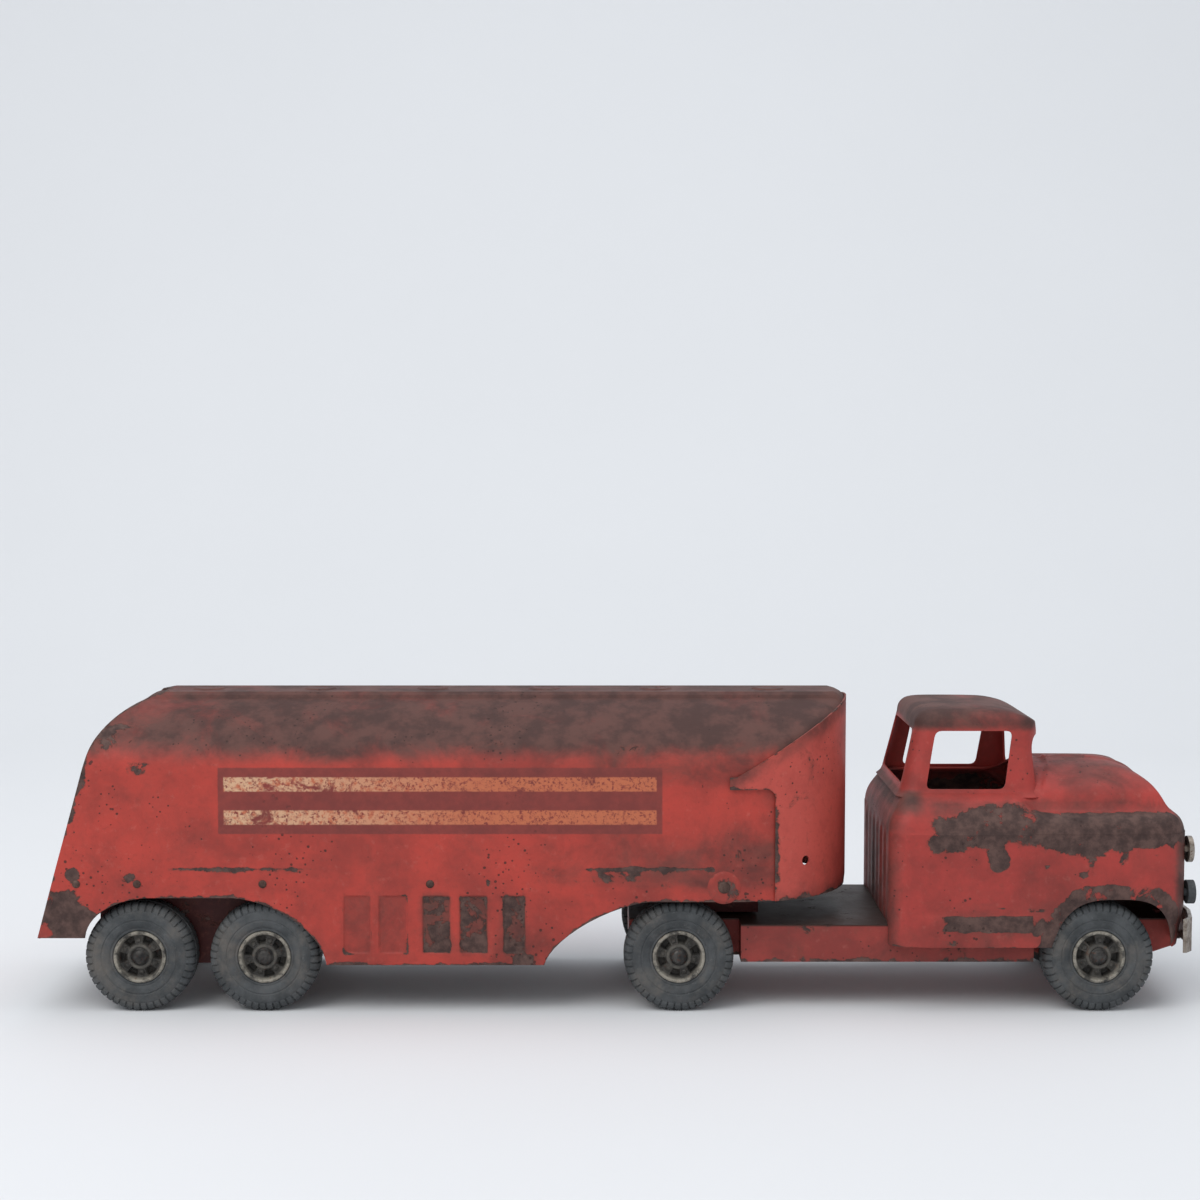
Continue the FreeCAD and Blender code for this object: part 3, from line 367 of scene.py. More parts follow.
def wear_group():
    """Old enamel over steel: hue, chips, pinholes and rust film, from two painted-on masks and height."""
    group = bpy.data.node_groups.new("old_enamel", "ShaderNodeTree")
    for name, kind, start in (("Place", "Vector", None), ("Bright", "Color", (0.42, 0.07, 0.05, 1)),
                              ("Dull", "Color", (0.3, 0.06, 0.045, 1)), ("Wear", "Float", 0.0),
                              ("Film", "Float", 0.0), ("Chips", "Float", 0.5)):
        socket = group.interface.new_socket(name=name, in_out="INPUT", socket_type="NodeSocket" + kind)
        if start is not None:
            socket.default_value = start
    for name, kind in (("Color", "Color"), ("Roughness", "Float"), ("Height", "Float"), ("Bare", "Float")):
        group.interface.new_socket(name=name, in_out="OUTPUT", socket_type="NodeSocket" + kind)
    source = group.nodes.new("NodeGroupInput").outputs
    place = source["Place"]
    cloud = grain(group, place, 14, 5, 0.6, 0.4)
    mottle = grain(group, place, 55, 4, 0.65)
    fine = grain(group, place, 420, 3, 0.6)
    edge_noise = grain(group, place, 75, 8, 0.68, 0.35)
    hue = reckon(group, "ADD", reckon(group, "MULTIPLY", cloud, 0.65),
                 reckon(group, "MULTIPLY", mottle, 0.35))
    paint = tint(group, fade(group, hue, 0.40, 0.62), source["Bright"], source["Dull"])
    paint = tint(group, reckon(group, "MULTIPLY", fade(group, fine, 0.50, 0.80), 0.35), paint,
                 (0.20, 0.045, 0.035, 1))
    chalk = fade(group, grain(group, place, 230, 4, 0.7), 0.56, 0.76)
    paint = tint(group, reckon(group, "MULTIPLY", chalk, 0.13), paint, (0.60, 0.24, 0.19, 1))
    film_noise = reckon(group, "ADD", source["Film"], reckon(group, "MULTIPLY", reckon(
        group, "SUBTRACT", grain(group, place, 34, 7, 0.66, 0.5), 0.5), 1.15))
    film = fade(group, film_noise, 0.18, 0.92)
    film_colour = tint(group, fade(group, mottle, 0.40, 0.62), (0.108, 0.048, 0.040, 1),
                       (0.066, 0.033, 0.029, 1))
    stained = tint(group, film, paint, film_colour)
    chip_level = reckon(group, "ADD", source["Wear"], reckon(group, "MULTIPLY", reckon(
        group, "SUBTRACT", edge_noise, 0.5), reckon(group, "ADD", source["Chips"], 0.75)))
    bare = fade(group, chip_level, 0.485, 0.53)
    halo = reckon(group, "MULTIPLY", fade(group, chip_level, 0.40, 0.50), 0.45)
    stained = tint(group, halo, stained, (0.17, 0.052, 0.04, 1))
    metal_noise = grain(group, place, 130, 6, 0.7)
    metal = tint(group, fade(group, metal_noise, 0.36, 0.66), (0.052, 0.031, 0.028, 1),
                 (0.118, 0.068, 0.058, 1))
    worn = tint(group, bare, stained, metal)
    pit_spread = fade(group, grain(group, place, 26, 3), 0.42, 0.66)
    pits = set_node(group, "TexVoronoi", {"Vector": place, "Scale": 300.0, "Randomness": 1.0},
                    feature="F1").outputs["Distance"]
    pit_size = reckon(group, "MULTIPLY", grain(group, place, 160, 2), reckon(
        group, "MULTIPLY", pit_spread, 0.42))
    pit = fade(group, reckon(group, "SUBTRACT", pit_size, pits), -0.01, 0.05)
    worn = tint(group, reckon(group, "MULTIPLY", pit, 0.8), worn, (0.045, 0.024, 0.021, 1))
    gloss = reckon(group, "ADD", 0.50, reckon(group, "MULTIPLY", reckon(group, "ADD", film, bare), 0.13))
    gloss = reckon(group, "ADD", gloss, reckon(group, "MULTIPLY", reckon(group, "SUBTRACT", mottle, 0.5),
                                               0.25))
    height = reckon(group, "ADD", reckon(group, "MULTIPLY", bare, -0.9), reckon(group, "MULTIPLY", pit, -0.8))
    height = reckon(group, "ADD", height, reckon(group, "MULTIPLY", fine, 0.35))
    result = group.nodes.new("NodeGroupOutput").inputs
    group.links.new(worn, result["Color"])
    group.links.new(gloss, result["Roughness"])
    group.links.new(height, result["Height"])
    group.links.new(bare, result["Bare"])
    return group


old_enamel = wear_group()


def use_enamel(tree, place, bright, dull, wear, film, chips=0.5):
    """Place the shared enamel in a material."""
    enamel = tree.nodes.new("ShaderNodeGroup")
    enamel.node_tree = old_enamel
    for name, source in (("Place", place), ("Bright", bright), ("Dull", dull), ("Wear", wear), ("Film", film),
                         ("Chips", chips)):
        if isinstance(source, bpy.types.NodeSocket):
            tree.links.new(source, enamel.inputs[name])
        else:
            enamel.inputs[name].default_value = source
    return enamel


def finish_surface(tree, surface, colour, roughness, height, depth):
    """Join a colour, a roughness and a relief of some depth to a surface."""
    tree.links.new(colour, surface.inputs["Base Color"])
    tree.links.new(roughness, surface.inputs["Roughness"])
    surface.inputs["Specular IOR Level"].default_value = 0.2
    relief = set_node(tree, "Bump", {"Height": height, "Distance": depth, "Strength": 1.0})
    tree.links.new(relief.outputs[0], surface.inputs["Normal"])


def split_place(tree, place):
    """The along, across and up parts of a place."""
    return set_node(tree, "SeparateXYZ", {0: place}).outputs


def painted_mask(tree, name):
    """A mask painted on the piece's points."""
    return set_node(tree, "Attribute", attribute_name=name).outputs["Fac"]


def paint_mask(piece, name, values):
    """Store one number per point on a piece."""
    mesh = piece.data
    layer = mesh.attributes.get(name) or mesh.attributes.new(name, "FLOAT", "POINT")
    layer.data.foreach_set("value", np.asarray(values, np.float32))


def points_of(piece):
    """A piece's points, one row of (x, y, z) each."""
    flat = np.empty(len(piece.data.vertices) * 3, np.float32)
    piece.data.vertices.foreach_get("co", flat)
    return flat.reshape(-1, 3).astype(float)


def rise(values, low, high):
    """The same smooth rise as fade, for arrays."""
    part = np.clip((values - low) / (high - low), 0, 1)
    return part * part * (3 - 2 * part)


RED_BRIGHT, RED_DULL = (0.450, 0.056, 0.042, 1), (0.290, 0.045, 0.036, 1)


def tank_enamel():
    """Red enamel with a darker transfer band on each side, crossed by two plain worn stripes."""
    material, tree, surface, place = new_material("tank_enamel")
    along_it, across_it, up_it = split_place(tree, place)
    wear, film = painted_mask(tree, "wear"), painted_mask(tree, "film")
    enamel = use_enamel(tree, place, RED_BRIGHT, RED_DULL, wear, film)
    wobble = reckon(tree, "MULTIPLY", reckon(tree, "SUBTRACT", grain(tree, place, 900, 2), 0.5), 0.0006)
    x, z = reckon(tree, "ADD", along_it, wobble), reckon(tree, "ADD", up_it, wobble)

    def window(value, low, high, soft=0.0004):
        """1 between two values, with a soft border at each."""
        return reckon(tree, "MULTIPLY", fade(tree, value, low - soft, low + soft),
                      fade(tree, value, high + soft, high - soft))

    band_back, band_front = from_pin(-272), from_pin(-39)
    band = reckon(tree, "MULTIPLY", window(x, band_back, band_front), window(z, 95.5 * mm, 130.5 * mm))
    band = reckon(tree, "MULTIPLY", band, fade(tree, reckon(tree, "ABSOLUTE", across_it), 40 * mm, 42 * mm))
    shade = tint(tree, fade(tree, grain(tree, place, 120, 5, 0.7), 0.35, 0.7), (0.155, 0.040, 0.036, 1),
                 (0.215, 0.048, 0.041, 1))
    band_seen = reckon(tree, "MULTIPLY", band, reckon(tree, "SUBTRACT", 0.86, enamel.outputs["Bare"], True))
    colour = tint(tree, band_seen, enamel.outputs["Color"], shade)
    stripes = reckon(tree, "ADD", window(z, 118.0 * mm, 125.5 * mm), window(z, 100.5 * mm, 108.0 * mm))
    stripes = reckon(tree, "MULTIPLY", stripes, window(x, band_back + 3 * mm, band_front - 3 * mm))
    stripes = reckon(tree, "MULTIPLY", stripes, band)
    flecks = fade(tree, grain(tree, place, 620, 4, 0.75), 0.36, 0.50)
    rub = fade(tree, grain(tree, place, 60, 5, 0.7, 0.6), 0.36, 0.47)
    stripes = reckon(tree, "MULTIPLY", stripes, reckon(tree, "MULTIPLY", flecks, rub))
    stripes = reckon(tree, "MULTIPLY", stripes, reckon(tree, "SUBTRACT", 1.0, enamel.outputs["Bare"], True))
    towards = fade(tree, x, band_back, from_pin(-120))
    ink = tint(tree, towards, (0.66, 0.42, 0.26, 1), (0.52, 0.155, 0.075, 1))
    ink = tint(tree, fade(tree, grain(tree, place, 320, 3, 0.7), 0.45, 0.68), ink, (0.50, 0.145, 0.075, 1))
    colour = tint(tree, reckon(tree, "MULTIPLY", stripes, 0.9), colour, ink)
    finish_surface(tree, surface, colour, enamel.outputs["Roughness"], enamel.outputs["Height"], 0.00025)
    return material


tank_paint = tank_enamel()
tank = new_piece("tank_skin", surface_mesh("tank_skin", tank_grid, flip=True), tank_paint, "trailer",
                 "tank_enamel", "tank_sheet")
thicken(tank, sheet)
under_tail = (from_pin(-343), tail_foot_up)
skirt_cut = [(tail_foot - 20 * mm, -20 * mm), (tail_foot - 20 * mm, tail_foot_up), under_tail]
skirt_cut += sweep_curve((from_pin(-308), tail_foot_up - 1 * mm),
                         (35 * mm, bogie_top - tail_foot_up + 1 * mm),
                         2.0, 176, 92)
skirt_cut += sweep_curve((from_pin(-266), skirt_low), (50 * mm, bogie_top - skirt_low), 1.7, 88, 2)
skirt_cut += [(from_pin(-216), skirt_low), (from_pin(-101), skirt_low)]
skirt_cut += sweep_curve((from_pin(-45), skirt_low), (56 * mm, nose_low - skirt_low), 1.5, 178, 92)
skirt_cut += [(pin + half + 20 * mm, nose_low), (pin + half + 20 * mm, -20 * mm)]
carve(tank, slab("skirt_cut", skirt_cut, "y", -half - 10 * mm, half + 10 * mm))
smooth(tank, 28)


def blotch(points, centre, size, turn=0.0):
    """1 at a place on the lorry's side, fading to 0 over an oval of this size."""
    x, z = (points[:, 0] - centre[0]), (points[:, 2] - centre[1])
    c, s = math.cos(math.radians(turn)), math.sin(math.radians(turn))
    far = np.hypot((x * c + z * s) / size[0], (z * c - x * s) / size[1])
    return np.clip(1 - far, 0, 1)


def skirt_edge(x):
    """The height of the skirt's lower edge along the lorry."""
    outline_x = np.array([corner[0] for corner in skirt_cut[1:-1]])
    outline_z = np.array([corner[1] for corner in skirt_cut[1:-1]])
    return np.interp(x, outline_x, outline_z)


seen = points_of(tank)
x, z = seen[:, 0], seen[:, 2]
ahead = (x - pin) / mm
tall = z / mm
film = 0.95 * rise(tall, 122, 146) * (0.82 + 0.18 * rise(ahead, -330, -200))
film = np.maximum(film, 0.62 * rise(tall, 100, 140) * rise(ahead, -230, -40))
film = np.maximum(film, 0.50 * rise(ahead, -10, 25) * rise(tall, 55, 70))
film = np.maximum(film, 0.40 * rise(ahead, -300, -150) * rise(tall, 92, 132))
film = np.maximum(film, 0.95 * rise(ahead, 8, 24) * rise(tall, 110, 122))
film = np.maximum(film, 0.55 * rise(ahead, -150, -60) * rise(tall, 126, 84) * rise(tall, 60, 70))
wear = 0.62 * np.clip(1 - np.abs(tall - 76.5) / 3.6, 0, 1) * np.maximum(
    rise(ahead, -304, -296) * rise(ahead, -216, -224), 1.15 * rise(ahead, -150, -66) * rise(ahead, -8, -14))
wear = np.maximum(wear, 0.22 * np.clip(1 - np.abs(tall - 76) / 3.0, 0, 1) * rise(ahead, -310, -290))
wear = np.maximum(wear, 0.55 * np.clip(1 - (x - tail_line(z)) / (7 * mm), 0, 1) * (0.75 + 0.4 * (tall > 100)))
edge = np.clip(1 - (z - skirt_edge(x)) / (4.5 * mm), 0, 1)
wear = np.maximum(wear, 0.60 * edge)
for centre, size, turn, strength in (
        ((-352, 52), (20, 26), 30, 0.80), ((-343, 50), (9, 20), 20, 0.7), ((-330, 146), (30, 13), -8, 0.52),
        ((-310, 130), (30, 7), 0, 0.44), ((-354, 97), (4, 3), 0, 0.75), ((-318, 71), (9, 6), 0, 0.5),
        ((-360, 72), (5, 6), 0, 0.66), ((-349, 74), (6, 5.4), 0, 0.85), ((-130, 69.5), (3.4, 3.2), 0, 0.9),
        ((-128, 140), (20, 8), 0, 0.40), ((-60, 138), (22, 8), 10, 0.44), ((-70, 71), (48, 5.5), 2, 0.50),
        ((-34, 66), (20, 9), 0, 0.42), ((-2, 79), (18, 22), 0, 0.36), ((-112, 28), (12, 7), 0, 0.62)):
    wear = np.maximum(wear, strength * np.minimum(1, 1.6 * blotch(
        seen, (from_pin(centre[0]), centre[1] * mm), (size[0] * mm, size[1] * mm), turn)))
for start, width in zip(panel_starts, panel_widths):
    inside = np.clip(np.minimum(ahead - start, start + width - ahead) / 1.6 + 0.6, 0, 1) \
        * np.clip(np.minimum(tall - 31.5, 63 - tall) / 1.6 + 0.6, 0, 1)
    rim = np.clip(1.3 - inside, 0, 1) * inside * 1.6
    wear = np.maximum(wear, inside * 0.52 if start > -170 else rim * 0.62)
    film = np.maximum(film, inside * (0.75 if start > -170 else 0.48))
front_line = pin + np.sqrt(np.maximum(half ** 2 - seen[:, 1] ** 2, 0))
wear = np.maximum(wear, 0.52 * (tall > 126.5) * np.clip(1 - (front_line - x) / (3 * mm), 0, 1))
film = np.maximum(film, 0.25 + 0.12 * rise(tall, 60, 35))
paint_mask(tank, "wear", wear)
paint_mask(tank, "film", film)


# The eight wheels: grooved rubber tyres with blocks round their shoulders, pressed over dark
# moulded hubs. Each hub has a raised rim ring rubbed pale, six windows and a domed boss.
def spun(profile, steps):
    """Turn a profile of (radius, out) points round the Y axis: x = r cos a, z = r sin a, y = out."""
    turn = np.linspace(0, 2 * math.pi, steps, endpoint=False)[:, None]
    radius, out = np.array(profile, float).T
    return np.stack([radius * np.cos(turn), np.broadcast_to(out, (steps, len(out))), radius * np.sin(turn)],
                    -1)


lug_count, lug_deep = 44, 1.15 * mm


def tyre_points():
    """The tyre's section carried round its axle, with a block and a gap in turn on its shoulders and tread.

    A point moves inwards by the lug depth times a square wave of its turn and a window over the shoulder."""
    crown = [(29.2, 0), (29.2, 2.0), (29.18, 2.2), (28.3, 2.35), (28.3, 3.0), (29.1, 3.15), (29.1, 4.9),
             (28.95, 6.4),
             (28.6, 7.4), (28.0, 8.3), (27.1, 9.0), (26.1, 9.45), (25.2, 9.65), (24.6, 9.45), (24.1, 9.75),
             (22.4, 9.95), (20.4, 10.0), (20.0, 9.72), (19.6, 9.72), (19.2, 9.95), (17.4, 9.7), (16.0, 9.1),
             (15.5, 8.6), (15.1, 8.75), (14.5, 8.7), (13.9, 8.2), (13.3, 7.2), (13.02, 5.5), (13.02, 0)]
    half = np.array(crown) * mm
    inner = half[::-1][1:] * [1, -1]
    section = np.concatenate([half, inner[:-1]])
    steps = lug_count * 10
    points = spun(section, steps)
    part = (np.arange(steps) % 10)[:, None]
    gap = np.where((part == 0) | (part == 1), 1.0, 0.0)
    radius, out = section[:, 0], np.abs(section[:, 1])
    shoulder = np.clip((radius - 24.9 * mm) / (0.5 * mm), 0, 1) * np.clip((out - 3.1 * mm) / (0.2 * mm), 0, 1)
    side_share = np.clip((28.6 * mm - radius) / (3 * mm), 0, 1)
    cut_in = gap * shoulder * lug_deep
    turn = np.arctan2(points[..., 2], points[..., 0])
    points[..., 0] -= cut_in * (0.7 - 0.4 * side_share) * np.cos(turn)
    points[..., 2] -= cut_in * (0.7 - 0.4 * side_share) * np.sin(turn)
    points[..., 1] -= np.sign(points[..., 1]) * cut_in * side_share * 0.8
    return points


def old_rubber():
    """Slate rubber, bleached and dusty in its hollows, with a little rubbed shine."""
    material, tree, surface, place = new_material("aged_rubber")
    mottle = grain(tree, place, 90, 6, 0.7)
    colour = tint(tree, fade(tree, mottle, 0.35, 0.68), (0.038, 0.042, 0.045, 1), (0.075, 0.080, 0.084, 1))
    dust = reckon(tree, "MULTIPLY", fade(tree, grain(tree, place, 30, 5, 0.7), 0.45, 0.72),
                  painted_mask(tree, "dust"))
    colour = tint(tree, dust, colour, (0.125, 0.112, 0.100, 1))
    scuff = fade(tree, grain(tree, place, 380, 5, 0.75), 0.60, 0.72)
    colour = tint(tree, reckon(tree, "MULTIPLY", scuff, 0.5), colour, (0.15, 0.155, 0.155, 1))
    rough = reckon(tree, "ADD", 0.56, reckon(tree, "MULTIPLY", mottle, 0.25))
    height = reckon(tree, "ADD", grain(tree, place, 650, 4, 0.7), reckon(tree, "MULTIPLY", mottle, 0.8))
    finish_surface(tree, surface, colour, rough, height, 0.00022)
    surface.inputs["Specular IOR Level"].default_value = 0.35
    return material


def moulded_hub():
    """Dull dark moulding with grey bloom, rubbed pale along the rim ring."""
    material, tree, surface, place = new_material("moulded_hub")
    mottle = grain(tree, place, 170, 6, 0.7)
    colour = tint(tree, fade(tree, mottle, 0.35, 0.7), (0.040, 0.038, 0.036, 1), (0.085, 0.078, 0.068, 1))
    rubbed = reckon(tree, "MULTIPLY", painted_mask(tree, "dust"),
                    fade(tree, grain(tree, place, 120, 6, 0.75), 0.38, 0.58))
    colour = tint(tree, reckon(tree, "MULTIPLY", rubbed, 0.75), colour, (0.31, 0.285, 0.24, 1))
    rust = fade(tree, grain(tree, place, 240, 4, 0.7), 0.60, 0.70)
    colour = tint(tree, reckon(tree, "MULTIPLY", rust, 0.6), colour, (0.10, 0.045, 0.025, 1))
    rough = reckon(tree, "ADD", 0.42, reckon(tree, "MULTIPLY", mottle, 0.3))
    finish_surface(tree, surface, colour, rough, grain(tree, place, 520, 5, 0.7), 0.0002)
    return material


def hub_points():
    """The hub's face carried round its axle: rim ring, six scooped windows, a raised boss and its bore."""
    face = [(13.0, -8.6), (13.0, 7.4), (13.9, 8.35), (13.7, 8.95), (13.0, 9.15), (12.3, 8.9), (11.9, 8.0),
            (11.5, 6.9),
            (11.1, 6.3), (10.5, 6.1), (9.8, 6.2), (9.0, 6.4), (8.2, 6.7), (7.4, 7.0), (6.9, 7.2), (6.6, 7.9),
            (6.2, 8.2), (5.6, 8.3), (5.0, 8.1), (4.6, 7.6), (3.9, 7.45), (2.46, 7.4), (2.46, -8.6)]
    profile = np.array(face) * mm
    steps = 180
    points = spun(profile, steps)
    turn = np.linspace(0, 2 * math.pi, steps, endpoint=False)[:, None]
    wave = np.cos(6 * turn)
    window_part = np.clip((wave - 0.05) / 0.25, 0, 1)
    ring = np.clip(1 - np.abs(profile[:, 0] - 9.2 * mm) / (2.2 * mm), 0, 1) * (profile[:, 1] > 5 * mm)
    ring = np.clip(ring * 2.2, 0, 1)
    points[..., 1] -= 3.6 * mm * window_part * ring
    bolt = np.clip((-wave - 0.72) / 0.12, 0, 1) * np.clip(1 - np.abs(profile[:, 0] - 8.6 * mm) / (1.3 * mm),
                                                          0, 1)
    points[..., 1] += 1.0 * mm * np.clip(bolt * 2, 0, 1) * (profile[:, 1] > 5 * mm)
    return points


rubber_finish, hub_finish = old_rubber(), moulded_hub()
tyre_shape, hub_shape = tyre_points(), hub_points()
for axle_number, axle in enumerate(("front", "drive", "trailer_front", "trailer_rear")):
    for hand, side in (("right", -1), ("left", 1)):
        centre = (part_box(f"{axle}_tyre_{hand}")[0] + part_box(f"{axle}_tyre_{hand}")[1]) / 2
        spin = math.radians(23 * axle_number + 11 * side + 7)
        for part, shape, finish, slot in (("tyre", tyre_shape, rubber_finish, "tyre"),
                                          ("hub", hub_shape, hub_finish, "hub")):
            c, s = math.cos(spin), math.sin(spin)
            turned = np.stack([shape[..., 0] * c - shape[..., 2] * s, side * shape[..., 1],
                               shape[..., 0] * s + shape[..., 2] * c], -1) + np.array(centre)
            mesh = surface_mesh(f"{axle}_{part}_{hand}", turned, closed=(True, True), flip=side < 0)
            wheel_piece = new_piece(f"{axle}_{part}_skin_{hand}", mesh, finish, f"{axle}_wheel_{hand}", slot,
                                    f"{axle}_{part}_{hand}")
            smooth(wheel_piece, 34)
            radius = np.hypot(shape[..., 0], shape[..., 2]).ravel() / mm
            out = np.abs(shape[..., 1]).ravel() / mm
            if part == "tyre":
                mask = 0.35 + 0.65 * np.clip((27.5 - radius) / 4, 0, 1)
            else:
                mask = np.clip(1.5 - np.abs(radius - 12.9) / 1.3, 0,
                               1) * (out > 6.6) + 0.3 * np.clip((out - 7.6), 0, 1)
            paint_mask(wheel_piece, "dust", mask)


# The cab: two steel pressings welded at the sills. The lower one is doors, bonnet, wings and
# ribbed back in one deep draw, open underneath; the upper one is the roof on its four
# pillars, with open windows and no glass. Paint is worn from every edge that stands proud.
cab_low, cab_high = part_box("cab_shell")
cab_back, cab_front, cab_half = cab_low.x, cab_high.x, cab_high.y
cab_foot, wall_top = cab_low.z, 95 * mm
cab_sheet = 1.0 * mm
arch_high, lip_width = 60.5 * mm, 8.5 * mm


def smooth_least(*heights):
    """The least of several heights, rounded over about 1 mm where two meet."""
    sharp = 1.1 / mm
    lowest = np.minimum.reduce(heights)
    return lowest - np.log(sum(np.exp(-sharp * (height - lowest)) for height in heights)) / sharp


def curve_through(values, corners):
    """A smooth curve through (place, height) corners in millimetres: a monotone cubic between each pair."""
    place, height = np.array(corners, float).T * mm
    run, climb = np.diff(place), np.diff(height) / np.diff(place)
    slope = np.concatenate([[climb[0]], 2 * climb[1:] * climb[:-1] / (climb[1:] + climb[:-1] + 1e-9)
                            * (climb[1:] * climb[:-1] > 0), [climb[-1]]])
    value = np.clip(values, place[0], place[-1])
    index = np.clip(np.searchsorted(place, value, side="right") - 1, 0, len(run) - 1)
    part = (value - place[index]) / run[index]
    start, finish = height[index], height[index + 1]
    return start * (1 + 2 * part) * (1 - part) ** 2 + finish * part ** 2 * (3 - 2 * part) \
        + run[index] * part * (1 - part) * (slope[index] * (1 - part) - slope[index + 1] * part)


def plan_ring(back, front, half_width, back_round, front_round, count):
    """A closed, evenly spaced plan: a rectangle with quarter ellipses of (along, across) size as corners."""
    quarter = np.linspace(0, math.pi / 2, 12)
    corner_front = np.stack([front - front_round[0] * (1 - np.cos(quarter)),
                             half_width - front_round[1] * (1 - np.sin(quarter))], -1)
    corner_back = np.stack([back + back_round[0] * (1 - np.sin(quarter)),
                            half_width - back_round[1] * (1 - np.cos(quarter))], -1)
    upper = np.concatenate([[[front, 0]], corner_front, corner_back, [[back, 0]]])
    lower = upper[::-1][1:-1] * [1, -1]
    loop = np.concatenate([upper, lower, upper[:1]])
    steps = np.hypot(*np.diff(loop, axis=0).T)
    keep = np.concatenate([[True], steps > 1e-9])
    loop, reach = loop[keep], np.concatenate([[0], np.cumsum(steps[steps > 1e-9])])
    wanted = np.linspace(0, reach[-1], count, endpoint=False)
    return np.stack([np.interp(wanted, reach, loop[:, 0]), np.interp(wanted, reach, loop[:, 1])], -1)


DOOR_TOP = [(0, 95), (0.8, 99.5), (2.5, 103.8), (5, 107.4), (9, 111.2), (13, 113.6), (16, 114.8), (62, 116)]
WING_TOP = [(0, 95), (0.8, 99.2), (2.5, 102.6), (5, 104.9), (8, 106), (11, 106.4), (12.8, 107.6), (14.8, 112),
            (17.5, 116.2), (22, 119.8), (29, 123), (41, 126.2), (62, 128.3)]
NOSE_TOP = [(0, 90), (0.6, 96), (1.5, 99.5), (3, 102), (6, 104.6), (9, 107), (11.5, 110.5), (14, 115),
            (18, 119.8),
            (24, 123.6), (34, 126.6), (44, 128), (80, 131)]
BACK_TOP = [(0, 98), (1, 105), (3, 109.6), (8, 114.4), (14, 116), (24, 120), (80, 160)]
EDGE_TOP = [(0, 94), (0.8, 99), (2.5, 103.5), (5, 107.5), (9, 113), (14, 121), (24, 140), (62, 190)]


def bonnet_seam(across):
    """Where the bonnet's rear edge lies: bowed forward in the middle."""
    return from_pin(172) - 10 * mm * (np.abs(across) / (48 * mm)) ** 2


def cab_top(x, y, drawn_in):
    """The height of the doors', bonnet's and wings' upper face, from how far a point is from each edge."""
    side_way = cab_half - np.abs(y)
    to_wing = rise(x, from_pin(147), from_pin(163))
    across = curve_through(side_way, DOOR_TOP) * (1 - to_wing) + curve_through(side_way, WING_TOP) * to_wing
    height = smooth_least(across, curve_through(cab_front - x, NOSE_TOP),
                          curve_through(x - cab_back, BACK_TOP),
                          curve_through(drawn_in + 0 * x, EDGE_TOP))
    on_bonnet = rise(x, bonnet_seam(y) - 0.8 * mm, bonnet_seam(y) + 0.8 * mm) * rise(np.abs(y), 50 * mm,
                                                                                     46 * mm)
    peak = np.exp(-(y / (3.2 * mm)) ** 2) * rise(x, from_pin(174), from_pin(186))
    return height + 1.1 * mm * (on_bonnet - 1) * rise(x, from_pin(150), from_pin(160)) + 0.8 * mm * peak


def arch_gap(x, z):
    """How far a side point stands outside the front wheel opening: a rounded arch, slanted at its back."""
    slant = np.clip((arch_high - z) / (26 * mm), 0, 1)
    back_edge, front_edge = from_pin(175) - 9 * mm * slant, from_pin(227) + 2.5 * mm * slant
    middle, reach = (back_edge + front_edge) / 2, (front_edge - back_edge) / 2
    corner = 13 * mm
    out_x = np.maximum(np.abs(x - middle) - (reach - corner), 0)
    out_z = np.maximum(z - (arch_high - corner), 0)
    return np.hypot(out_x, out_z) - corner


def cab_side_relief(x, z):
    """How far the pressed side stands out from its plain form: wing, wheel-arch lip and running board."""
    gap = arch_gap(x, z)
    lip = 1.0 * mm * rise(gap, lip_width, lip_width - 2.2 * mm) * rise(gap, -1 * mm, 1.5 * mm)
    wing_line = from_pin(150) + 12 * mm * np.clip((z - 56 * mm) / (32 * mm), 0, 1.4)
    wing = 0.55 * mm * rise(x, wing_line - 0.6 * mm, wing_line + 0.8 * mm) * rise(z, 96 * mm, 84 * mm)
    board = 0.95 * mm * rise(z, 52.5 * mm, 50.5 * mm) * rise(x, from_pin(90), from_pin(104)) \
        * rise(x, from_pin(170), from_pin(164))
    step = 0.35 * mm * rise(z, 56.6 * mm, 55.6 * mm) * rise(x, from_pin(96), from_pin(110)) \
        * rise(x, from_pin(170), from_pin(160))
    return np.maximum(lip, np.maximum(wing, board + step * 0.6)) - 0.9 * mm


